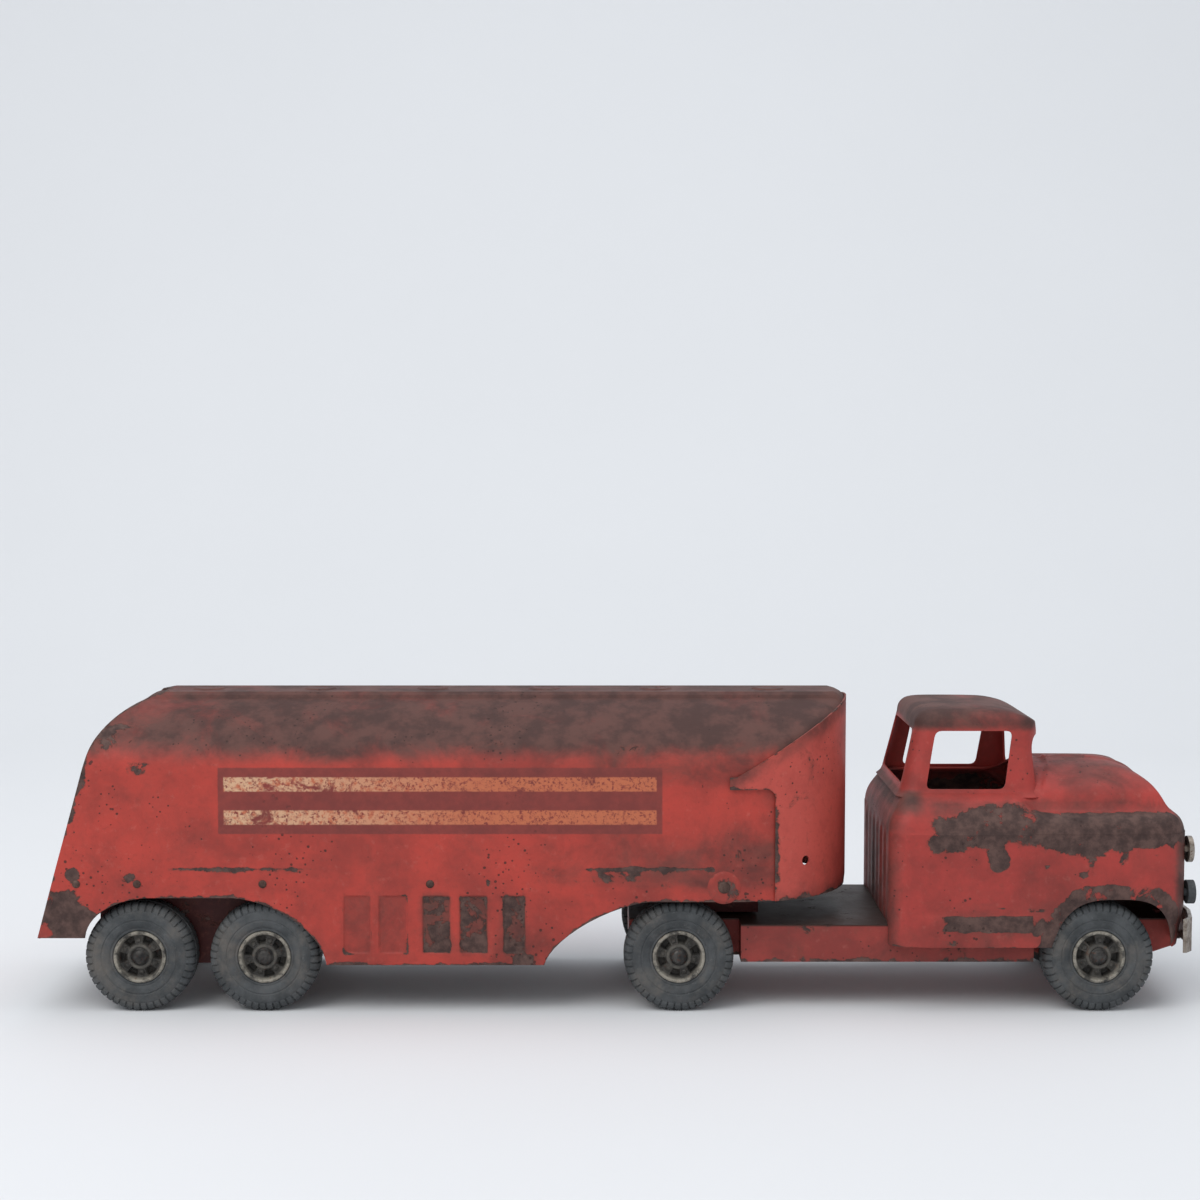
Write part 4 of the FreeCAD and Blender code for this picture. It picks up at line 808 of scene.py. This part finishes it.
def cab_body_points():
    """Rings round the cab: up the walls from the foot, then in over the bonnet and doors to the middle."""
    count = 300
    base = plan_ring(cab_back, cab_front, cab_half, (11 * mm, 11 * mm), (17 * mm, 18 * mm), count)
    rows = []
    for z in spaced([cab_foot, 50.5 * mm, 52.5 * mm, 55.6 * mm, 56.6 * mm, 62 * mm, wall_top], 1.9 * mm):
        x, y = base[:, 0], base[:, 1]
        facing = np.clip(np.abs(y) / cab_half * 8 - 7, 0, 1)
        relief = cab_side_relief(x, z) * facing * rise(z, wall_top + 1 * mm, wall_top - 8 * mm)
        at_back = rise(x, cab_back + 2 * mm, cab_back) * rise(np.abs(y), 50 * mm, 47 * mm)
        ribs = 0.8 * mm * rise(np.cos(y / (50 * mm) * math.pi * 6.5), -0.25, 0.35) * at_back \
            * rise(z, 44 * mm, 48 * mm) * rise(z, wall_top, wall_top - 5 * mm)
        slope = 3.5 * mm * np.clip((56 * mm - z) / (21 * mm), 0, 1) * rise(x, cab_front - 14 * mm, cab_front)
        rows.append(np.stack([x + 0.8 * mm * at_back - ribs - slope, y + np.sign(y) * relief,
                              np.full(count, z)], -1))
    drawn = np.concatenate([np.array([0.25, 0.6, 1.1, 1.8, 2.7, 3.8]), np.arange(5, 24, 1.3),
                            np.arange(24.5, 60, 2.6), [61.9]]) * mm
    for inward in drawn:
        share = 1 - inward / cab_half
        back, front = cab_back + inward * 0.9, cab_front - inward * 0.95
        corner_back, corner_front = 11 * mm * share, (17 * mm * share, 18 * mm * share)
        ring = plan_ring(back, front, cab_half - inward, (corner_back, corner_back), corner_front, count)
        rows.append(np.stack([ring[:, 0], ring[:, 1], cab_top(ring[:, 0], ring[:, 1], inward)], -1))
    return np.array(rows)


cab_points = cab_body_points()
middle_row = cab_points[-1].copy()
middle_row[:, 1] = 0
middle_row[:, 2] = cab_top(middle_row[:, 0], 0 * middle_row[:, 0], cab_half)
cab_points = np.concatenate([cab_points, middle_row[None]])
cab_mesh = surface_mesh("cab_pressing", cab_points, closed=(False, True))


def merge_doubles(mesh, near=1e-5):
    """Join points that coincide."""
    work = bmesh.new()
    work.from_mesh(mesh)
    bmesh.ops.remove_doubles(work, verts=work.verts, dist=near)
    bmesh.ops.recalc_face_normals(work, faces=work.faces)
    work.to_mesh(mesh)
    work.free()


def face_away(mesh, place):
    """Turn a mesh's faces so that they look away from a place inside it."""
    sides = [face.area * face.normal.dot(face.center - Vector(place)) for face in mesh.polygons]
    if sum(sides) < 0:
        mesh.flip_normals()


cab_inside = (from_pin(150), 0, 80 * mm)
merge_doubles(cab_mesh)
face_away(cab_mesh, cab_inside)


def plain_enamel(name, bright, dull, chips=0.5):
    """Worn enamel with no transfers, shaded by the piece's painted masks."""
    material, tree, surface, place = new_material(name)
    enamel = use_enamel(tree, place, bright, dull, painted_mask(tree, "wear"), painted_mask(tree, "film"),
                        chips)
    finish_surface(tree, surface, enamel.outputs["Color"], enamel.outputs["Roughness"],
                   enamel.outputs["Height"],
                   0.00025)
    return material


cab_paint = plain_enamel("cab_enamel", (0.385, 0.050, 0.042, 1), (0.235, 0.040, 0.034, 1), 0.62)
cab_body = new_piece("cab_pressing", cab_mesh, cab_paint, "tractor", "tractor_enamel", "cab_shell")
thicken(cab_body, cab_sheet)


def arch_outline():
    """The front wheel opening, from its foot at the back, over the top and down its front edge."""
    turn = np.linspace(math.pi, 0, 61)
    spread = np.sign(np.cos(turn)) * np.abs(np.cos(turn)) ** (2 / 3.2)
    climb = np.sin(turn) ** (2 / 3.2)
    x = from_pin(201) + spread * np.where(spread < 0, 26 * mm, 26.5 * mm)
    z = 34 * mm + climb * (arch_high - 34 * mm)
    x = x - 9 * mm * np.clip((arch_high - z) / (26 * mm), 0, 1) * (spread < 0) \
        + 2.5 * mm * np.clip((arch_high - z) / (26 * mm), 0, 1) * (spread > 0)
    return [(x[0], 20 * mm)] + list(zip(x, z)) + [(x[-1], 20 * mm)]


def rounded(corners, radius, count=5):
    """Round a closed outline's corners: each corner becomes a curve between points a radius away from it."""
    flat = np.array(corners, float)
    before, after = np.roll(flat, 1, axis=0) - flat, np.roll(flat, -1, axis=0) - flat
    before *= (radius / np.hypot(*before.T))[:, None]
    after *= (radius / np.hypot(*after.T))[:, None]
    part = np.linspace(0, 1, count)[None, :, None]
    curve = (flat + before)[:, None] * (1 - part) ** 2 + flat[:, None] * 2 * part * (1 - part) \
        + (flat + after)[:, None] * part ** 2
    return curve.reshape(-1, 2)


cabin_room = rounded([(from_pin(93), -41 * mm), (from_pin(154), -41 * mm), (from_pin(163), -22 * mm),
                      (from_pin(163), 22 * mm), (from_pin(154), 41 * mm), (from_pin(93), 41 * mm)], 9 * mm)
frame_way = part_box("tractor_frame")
carve(cab_body, slab("arches", arch_outline(), "y", -cab_half - 9 * mm, cab_half + 9 * mm),
      slab("cabin", cabin_room, "z", 70 * mm, 200 * mm),
      slab("frame_way", [(-52.5 * mm, 20 * mm), (52.5 * mm, 20 * mm), (52.5 * mm, frame_way[1].z + 0.1 * mm),
                         (-52.5 * mm, frame_way[1].z + 0.1 * mm)], "x", cab_back - 5 * mm, cab_back + 9 * mm),
      slab("nose_way", [(-36.5 * mm, 20 * mm), (36.5 * mm, 20 * mm), (36.5 * mm, frame_way[1].z + 0.1 * mm),
                        (-36.5 * mm, frame_way[1].z + 0.1 * mm)], "x", cab_front - 9 * mm,
                        cab_front + 5 * mm))
smooth(cab_body, 30)

# The roof pressing: four pillars and a crowned roof with a small visor, drawn from one sheet of
# steel and sunk over the sills. Its windows are cut through and have no glass.
pillar_foot, eaves = 112.5 * mm, 149 * mm
SIDE_ROOF = [(0, 149), (0.5, 151.6), (1.8, 154), (4.5, 156.3), (10, 158.2), (20, 159.2), (41, 159.5)]
FRONT_ROOF = [(0, 146.8), (0.4, 148.6), (2.5, 151), (11, 155), (26, 158.4), (45, 159.5), (80, 160)]
REAR_ROOF = [(0, 149), (0.8, 152.6), (3.5, 156.2), (7, 158), (15, 159.2), (24, 159.5), (80, 160)]


def roof_points():
    """Rings up the pillars, which lean in, then drawn in over the roof to the middle."""
    count = 260
    rows = []
    for z in spaced([pillar_foot, 115 * mm, 117 * mm, 142.5 * mm, 144.5 * mm, eaves], 2.2 * mm):
        lean = (z - 115 * mm) / (eaves - 115 * mm)
        flare = 2.0 * mm * np.clip((116.5 * mm - z) / (4 * mm), 0, 1) ** 2
        brow = rise(z, 136 * mm, 147 * mm)
        back, front = cab_back + 7.5 * mm + 8 * mm * lean, from_pin(166 - 3 * lean) + 1.2 * mm * brow
        ring = plan_ring(back - flare, front + flare, 46 * mm - 5.2 * mm * lean + 0.6 * mm * brow + flare,
                         (9 * mm, 10 * mm), (11 * mm, 26 * mm), count)
        rows.append(np.column_stack([ring, np.full(count, z)]))
    top_back, top_front, top_half = cab_back + 15.5 * mm, from_pin(164.2), 41.4 * mm
    middle_x, reach = (top_back + top_front) / 2, (top_front - top_back) / 2
    for inward in np.concatenate([np.array([0.2, 0.5, 1.0, 1.7, 2.6, 3.7]), np.arange(5, 40, 1.9)]) * mm:
        share = 1 - inward / top_half
        ring = plan_ring(middle_x - reach * share, middle_x + reach * share, top_half * share,
                         (9 * mm * share, 10 * mm * share), (11 * mm * share, 26 * mm * share), count)
        x, y = ring.T
        height = smooth_least(curve_through(top_half - np.abs(y), SIDE_ROOF),
                              curve_through(top_front - x, FRONT_ROOF),
                              curve_through(x - top_back, REAR_ROOF),
                              curve_through(inward + 0 * x, SIDE_ROOF) + 0.6 * mm)
        rows.append(np.column_stack([ring, height + 0.6 * mm]))
    middle = rows[-1].copy()
    middle[:, :2] = middle_x, 0
    return np.array(rows + [middle])


roof_mesh = surface_mesh("roof_pressing", roof_points(), closed=(False, True))
merge_doubles(roof_mesh)
face_away(roof_mesh, (from_pin(125), 0, 125 * mm))
cab_roof = new_piece("roof_pressing", roof_mesh, cab_paint, "tractor", "tractor_enamel")
thicken(cab_roof, cab_sheet)
side_window = rounded([(from_pin(101.5), 116.5 * mm), (from_pin(143.5), 116.5 * mm),
                       (from_pin(148), 147.2 * mm),
                       (from_pin(107), 147.2 * mm)], 3.4 * mm)
rear_window = rounded([(-36.5 * mm, 118 * mm), (36.5 * mm, 118 * mm), (32 * mm, 147 * mm),
                       (-32 * mm, 147 * mm)],
                      4 * mm)
windscreen = rounded([(-42 * mm, 117.5 * mm), (42 * mm, 117.5 * mm), (37.5 * mm, 144 * mm),
                      (-37.5 * mm, 144 * mm)],
                     4.5 * mm)
carve(cab_roof, slab("side_window", side_window, "y", -70 * mm, 70 * mm),
      slab("rear_window", rear_window, "x", cab_back - 9 * mm, cab_back + 27 * mm),
      slab("windscreen", windscreen, "x", from_pin(149), from_pin(190)), solver="FAST")
smooth(cab_roof, 30)


def cab_wear(piece):
    """Paint worn and stained places and painted shade on the cab: edges, lips, belt, nose, the back and all
    that faces up.
    """
    spot = points_of(piece)
    x, y, z = spot.T
    ahead, tall, wide = (x - pin) / mm, z / mm, np.abs(y) / mm
    film = 0.88 * rise(tall, 143, 151)
    film = np.maximum(film, 0.66 * rise(tall, 106, 122) * rise(ahead, 158, 170)
                      * (0.75 + 0.25 * rise(ahead, 222, 234)))
    film = np.maximum(film, 0.78 * rise(tall, 99, 108) * rise(tall, 119, 114) * rise(ahead, 108, 92))
    film = np.maximum(film, 0.55 * rise(tall, 100, 106) * rise(tall, 113, 110) * rise(ahead, 90, 110))
    film = np.maximum(film, 0.85 * rise(ahead, 226, 236))
    # Brown film over the back and its rounded rear corners: partly rust, partly painted shade of the back
    # turned from the light.
    film = np.maximum(film, 0.60 * rise(ahead, 96, 82))
    film = np.maximum(film, 0.45 * np.clip(1 - np.abs(tall - 96) / 22, 0, 1) * rise(ahead, 92, 120))
    film = np.maximum(film, 0.27 + 0.14 * rise(tall, 60, 38))
    belt = np.clip(1 - np.abs(tall - 97 + 2.5 * np.sin(ahead / 13)) / 17, 0, 1)
    wear = 0.72 * rise(belt, 0.0, 0.6) * rise(ahead, 92, 108) * rise(wide, 46, 54) * (0.88 + 0.12
                                                                                      * rise(ahead, 150, 190))
    gap = arch_gap(x, z) / mm
    lip = rise(gap, 10, 6.5) * rise(wide, 54, 58)
    wear = np.maximum(wear, 0.56 * lip * (tall < 73))
    for centre, size, turn, strength in (
            ((137.5, 82), (10.5, 11.5), 0, 0.72), ((132, 88), (7, 9), 0, 0.5), ((118, 92), (14, 7), 0, 0.5),
            ((187, 82), (6, 9), 0, 0.46), ((183, 73.5), (4.5, 3.2), 0, 0.62), ((204, 80), (6, 11), -12, 0.52),
            ((163, 78), (3.4, 2.4), 0, 0.6), ((157, 85), (3, 10), 0, 0.44), ((222, 84), (6, 6), 0, 0.45),
            ((160, 46), (5, 11), -32, 0.62), ((112, 37.5), (9, 4.5), 0, 0.62), ((158, 55), (10, 3), 0, 0.5),
            ((135, 56), (26, 0.9), 0, 0.5), ((104, 56), (30, 0.8), 0, 0.4)):
        blot = blotch(spot, (from_pin(centre[0]), centre[1] * mm), (size[0] * mm, size[1] * mm), turn)
        wear = np.maximum(wear, strength * np.minimum(1, 1.7 * blot) * rise(wide, 50, 56))
    board = rise(tall, 53, 51) * rise(tall, 40.5, 44) * rise(ahead, 100, 112) * rise(ahead, 162, 154)
    wear = np.maximum(wear, 0.66 * board * rise(wide, 54, 58))
    wear = np.maximum(wear, 0.46 * rise(tall, 37.5, 35.5) * rise(wide, 54, 58))
    wear = np.maximum(wear, 0.50 * rise(ahead, 229, 237) * rise(tall, 62, 70))
    return wear, film


for piece in (cab_body, cab_roof):
    worn_away, stained = cab_wear(piece)
    paint_mask(piece, "wear", worn_away)
    paint_mask(piece, "film", stained)

# The tank's ends: a wrapped nose panel that covers the side sheets' front edges, held by a tab
# on each side and pierced by one hole a side, and a flat leaning tail panel.
wall_out = half + 0.15 * mm
nose_rear = from_pin(20.5)


def nose_points():
    """The nose wall from tab tip round to tab tip: x = pin + r sin a, y = r cos a, then straight back."""
    reach = half * math.pi / 2
    path = spaced([-reach - 3.7 * mm, -reach, 0, reach, reach + 3.7 * mm], 2.2 * mm)
    rows = []
    for share in np.linspace(0, 1, 46):
        turn = np.clip(path / half, -math.pi / 2, math.pi / 2)
        past = np.abs(path) - np.minimum(np.abs(path), reach)
        x = pin + wall_out * np.cos(turn) - past
        top = 125.5 * mm + 0.592 * np.maximum(x - pin, 0)
        hem = 0.5 * mm * rise(share, 0.05, 0.0)
        rows.append(np.stack([x - hem * np.cos(turn), (wall_out - hem) * np.sin(turn),
                              nose_low + share * (top - nose_low)], -1))
    return np.array(rows)


def drill(name, place, way, radius, length):
    """A round cutter of some length that starts at a place and runs level along a way."""
    turn = np.linspace(0, 2 * math.pi, 32, endpoint=False)
    along_way, across_way = np.array([way[0], way[1], 0]), np.array([-way[1], way[0], 0])
    ring = np.array(place) + radius * (np.cos(turn)[:, None] * across_way + np.sin(turn)[:, None] * [0, 0, 1])
    points = np.concatenate([ring, ring + length * along_way])
    sides = [(a, (a + 1) % 32, (a + 1) % 32 + 32, a + 32) for a in range(32)]
    mesh = bpy.data.meshes.new(name)
    mesh.from_pydata(points.tolist(), [], sides
                     + [list(range(32))[::-1], [number + 32 for number in range(32)]])
    work = bmesh.new()
    work.from_mesh(mesh)
    bmesh.ops.recalc_face_normals(work, faces=work.faces)
    work.to_mesh(mesh)
    work.free()
    return mesh


behind_panel = [(from_pin(-20), 30 * mm), (nose_rear, 30 * mm), (nose_rear, 114 * mm)] \
    + sweep_curve((nose_rear - 5 * mm, 114 * mm), (5 * mm, 5 * mm), 2.0, 6, 84, 6) \
    + [(nose_rear - 5 * mm, 119 * mm), (from_pin(-20), 119 * mm)]
nose_paint = plain_enamel("nose_enamel", (0.500, 0.082, 0.064, 1), (0.370, 0.062, 0.050, 1), 0.45)
nose = new_piece("nose_skin", surface_mesh("nose_skin", nose_points()), nose_paint, "trailer", "tank_enamel",
                 "nose_panel")
merge_doubles(nose.data)
face_away(nose.data, (pin, 0, 90 * mm))
thicken(nose, sheet, 1.0)
hole_turn = math.radians(36)
hole_up, hole_radius = 79.6 * mm, 2.5 * mm
drill_start, drill_length = 40 * mm, 40 * mm
carve(nose, slab("behind_panel", behind_panel, "y", -half - 9 * mm, half + 9 * mm),
      *[drill("nose_hole", (pin + drill_start * math.sin(hole_turn), side * drill_start * math.cos(hole_turn),
                            hole_up),
              (math.sin(hole_turn), side * math.cos(hole_turn)), hole_radius, drill_length)
        for side in (-1, 1)])
smooth(nose, 30)
spot = points_of(nose)
ahead, tall = (spot[:, 0] - pin) / mm, spot[:, 2] / mm
from_top = (125.5 + 0.592 * np.maximum(ahead, 0)) - tall
wear = 0.56 * np.maximum(rise(ahead, 24.5, 21) * (tall < 119), rise(tall, 63.5, 60))
wear = np.maximum(wear, 0.50 * rise(from_top, 3.5, 0.5))
wear = np.maximum(wear, 0.52 * rise(tall, 121.5, 119.5) * (ahead < 17))
wear = np.maximum(wear, 0.30)
for centre, size in (((30, 68), (9, 7)), ((38, 118), (8, 16)), ((30, 92), (5, 9)), ((50, 74), (9, 12))):
    wear = np.maximum(wear, 0.42 * np.minimum(1, 1.6 * blotch(
        spot, (from_pin(centre[0]), centre[1] * mm), (size[0] * mm, size[1] * mm))))
paint_mask(nose, "wear", wear)
paint_mask(nose, "film", 0.16 + 0.40 * rise(from_top, 14, 2) + 0.25 * rise(tall, 72, 62))


def tail_points():
    """The tail panel between the sides: each row lies on the tail's line, as wide as the tank is there."""
    rows = []
    crest = roof - 3 * mm
    for z in np.concatenate([spaced([tail_foot_up, tail_knee, crest], 2.5 * mm),
                             crest + np.arange(1, 11) * 0.3 * mm]):
        wide = np.interp(z, half_up, half_out) - (0.9 if z < roof - 14 * mm else 1.5) * mm
        if z > crest:
            wide = max(wide, ridge_half - 1 * mm)
        across = np.linspace(-wide, wide, 46)
        line = float(tail_line(np.array(z))) + 0.5 * mm
        rows.append(np.stack([np.full(46, line), across, np.full(46, z)], -1))
    return np.array(rows)


tail = new_piece("tail_skin", surface_mesh("tail_skin", tail_points(), flip=True), nose_paint, "trailer",
                 "tank_enamel", "rear_panel")
face_away(tail.data, (pin, 0, 80 * mm))
thicken(tail, sheet)
smooth(tail, 30)
spot = points_of(tail)
paint_mask(tail, "wear", 0.34 + 0.24 * rise(np.abs(spot[:, 1]), 50 * mm, 61 * mm)
           + 0.20 * rise(spot[:, 2], 52 * mm, 40 * mm))
paint_mask(tail, "film", 0.25 + 0.5 * rise(spot[:, 2], 125 * mm, 150 * mm))

# Small turned and domed things: the hatch covers on the walkway, rivet and screw heads, the bosses
# under the screws, and the caps on the axles. All are steel, enamelled or worn.
DOME = [(0, 1.0), (0.45, 0.93), (0.75, 0.70), (0.93, 0.36), (1.0, 0.0), (1.0, -0.9), (0, -0.9)]
HATCH = [(0, 0.75), (0.62, 0.75), (0.68, 0.95), (0.86, 0.95), (0.93, 0.55), (1.0, 0.0), (1.0, -0.9),
         (0, -0.9)]


def turned_shape(outline, radius, height, place, way, steps=28):
    """An outline of (radius, height) shares turned round a line through a place along one of the axes."""
    profile = np.array(outline, float) * [radius, height]
    turn = np.linspace(0, 2 * math.pi, steps, endpoint=False)[:, None]
    flat = np.stack([profile[:, 0] * np.cos(turn), profile[:, 0] * np.sin(turn),
                     np.broadcast_to(profile[:, 1], (steps, len(profile)))], -1)
    axis = int(np.argmax(np.abs(way)))
    points = np.zeros_like(flat)
    points[..., axis] = flat[..., 2] * np.sign(way[axis])
    points[..., (axis + 1) % 3], points[..., (axis + 2) % 3] = flat[..., 0], flat[..., 1]
    return points + np.array(place)


def turned_piece(name, shapes, material, body, slot, *nodes):
    """Several turned shapes as one piece."""
    work = bmesh.new()
    for shape in shapes:
        work.from_mesh(surface_mesh("turned", shape, closed=(True, False)))
    bmesh.ops.remove_doubles(work, verts=work.verts, dist=1e-6)
    bmesh.ops.recalc_face_normals(work, faces=work.faces)
    mesh = bpy.data.meshes.new(name)
    work.to_mesh(mesh)
    work.free()
    made = new_piece(name, mesh, material, body, slot, *nodes)
    smooth(made, 40)
    return made


def fixed_enamel(name, bright, dull, wear, film, chips=0.5):
    """Worn enamel with the same wear all over."""
    material, tree, surface, place = new_material(name)
    enamel = use_enamel(tree, place, bright, dull, wear, film, chips)
    finish_surface(tree, surface, enamel.outputs["Color"], enamel.outputs["Roughness"],
                   enamel.outputs["Height"],
                   0.0002)
    return material


def old_metal(name, dark, light, shine=0.7, rough=0.5):
    """Dull plated or bare steel with brown rust in it."""
    material, tree, surface, place = new_material(name)
    patches = fade(tree, grain(tree, place, 150, 6, 0.72, 0.3), 0.36, 0.66)
    colour = tint(tree, patches, dark, light)
    specks = fade(tree, grain(tree, place, 520, 3, 0.7), 0.56, 0.68)
    colour = tint(tree, reckon(tree, "MULTIPLY", specks, 0.7), colour, (0.085, 0.034, 0.020, 1))
    surface.inputs["Metallic"].default_value = shine
    roughness = reckon(tree, "ADD", rough, reckon(tree, "MULTIPLY", patches, -0.15))
    finish_surface(tree, surface, colour, roughness, grain(tree, place, 420, 4, 0.7), 0.00018)
    return material


rusty = old_metal("rusty_steel", (0.060, 0.034, 0.028, 1), (0.120, 0.075, 0.062, 1), 0.35, 0.62)
dark_cap = old_metal("dark_cap", (0.022, 0.021, 0.021, 1), (0.070, 0.066, 0.062, 1), 0.4, 0.42)
plated = old_metal("worn_plating", (0.130, 0.095, 0.075, 1), (0.330, 0.290, 0.250, 1), 0.75, 0.40)
hatch_paint = fixed_enamel("hatch_enamel", RED_BRIGHT, RED_DULL, 0.40, 0.92)
hatches = [turned_shape(HATCH, 9 * mm, 0.75 * mm, (from_pin(20.5 - 61.5 * number), 0, roof + ridge_rise),
                        (0, 0, 1), 48) for number in range(6)]
turned_piece("hatch_covers", hatches, hatch_paint, "trailer", "tank_enamel")
rivet_up = 69 * mm
for name, places in (("bogie", (-315, -249)), ("brace", (-161,)), ("tail", (-347,))):
    heads = [turned_shape(DOME, 2.2 * mm, 1.0 * mm, (from_pin(place), side * (half - 0.2 * mm), rivet_up),
                          (0, side, 0)) for place in places for side in (-1, 1)]
    turned_piece(f"{name}_rivet_heads", heads, rusty, "trailer", "tank_enamel", f"{name}_rivets")
screw_heads = [turned_shape(DOME, 3.3 * mm, 1.3 * mm, (from_pin(-6.5), side * (half + 0.5 * mm), 67.3 * mm),
                            (0, side, 0), 36) for side in (-1, 1)]
turned_piece("bridge_screw_heads", screw_heads, rusty, "trailer", "bright_steel", "bridge_screws")
BOSS = [(0, 0.75), (0.72, 0.75), (0.86, 0.60), (1.0, -0.3), (1.0, -1.0), (0, -1.0)]
boss_paint = fixed_enamel("boss_enamel", RED_BRIGHT, RED_DULL, 0.40, 0.30)
bosses = [turned_shape(BOSS, 9 * mm, 1.0 * mm, (from_pin(-6.5), side * (half - 0.1 * mm), 67.3 * mm),
                       (0, side, 0), 48) for side in (-1, 1)]
turned_piece("screw_bosses", bosses, boss_paint, "trailer", "tank_enamel")
CAP = [(0, 1.0), (0.35, 0.97), (0.62, 0.82), (0.82, 0.52), (0.9, 0.2), (1.0, 0.1), (1.0, -0.8), (0, -0.8)]
cap_radius, cap_depth, cap_out = 4.6 * mm, 2.6 * mm, 57.6 * mm
for body, axles in (("tractor", ("front", "drive")), ("trailer", ("trailer_front", "trailer_rear"))):
    caps = []
    for axle in axles:
        centre = (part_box(f"{axle}_axle")[0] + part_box(f"{axle}_axle")[1]) / 2
        caps += [turned_shape(CAP, cap_radius, cap_depth, (centre.x, side * cap_out, centre.z),
                              (0, side, 0), 40)
                 for side in (-1, 1)]
    turned_piece(f"{body}_axle_caps", caps, dark_cap, body, "bright_steel", f"{body}_axle_nuts")

# The frame, brackets, coupling, bumper, lamps and axles: folded, pressed and turned steel, shown
# in the shapes they were designed in, under red enamel, dull plating or rust.
def frame_enamel():
    """Red enamel on the frame's flanges, and its deck's top painted near black."""
    material, tree, surface, place = new_material("frame_enamel")
    up_it = split_place(tree, place)[2]
    edges = fade(tree, up_it, 29 * mm, 25 * mm)
    # The deck's top, above about 44 mm, is painted near black over the red enamel.
    deck_top_dark = fade(tree, up_it, 43.6 * mm, 44.8 * mm)
    wear = reckon(tree, "ADD", 0.34, reckon(tree, "MULTIPLY", edges, 0.22))
    enamel = use_enamel(tree, place, (0.360, 0.054, 0.044, 1), (0.235, 0.042, 0.036, 1), wear, 0.30)
    colour = tint(tree, deck_top_dark, enamel.outputs["Color"], (0.034, 0.018, 0.014, 1))
    finish_surface(tree, surface, colour, enamel.outputs["Roughness"], enamel.outputs["Height"], 0.0002)
    return material


# Painted shade: the bogie bracket, cross brace and coupling bridge sit under the tank, so their red enamel is
# a much darker copy of the tank's red.
shade_darkened_red = fixed_enamel("sheltered_enamel", (0.085, 0.020, 0.020, 1), (0.055, 0.016, 0.016, 1), 0.36, 0.35)
bracket_red = fixed_enamel("bracket_enamel", (0.230, 0.050, 0.044, 1), (0.160, 0.040, 0.036, 1), 0.44, 0.40)
finishes = {
    frame_enamel(): ["tractor_frame"],
    shade_darkened_red: ["bogie_bracket", "cross_brace", "coupling_bridge"],
    bracket_red: ["bumper_brackets", "cab_rivets"],
    rusty: ["kingpin", "kingpin_clip", "kingpin_washer", "front_axle", "drive_axle", "trailer_front_axle",
            "trailer_rear_axle"],
    plated: ["front_bumper", "grille", "headlamp_right", "headlamp_left"],
    rubber_finish: ["bumper_guard_right", "bumper_guard_left"],
}
for finish, names in finishes.items():
    for name in names:
        frame["nodes"][name].data.materials.clear()
        frame["nodes"][name].data.materials.append(finish)
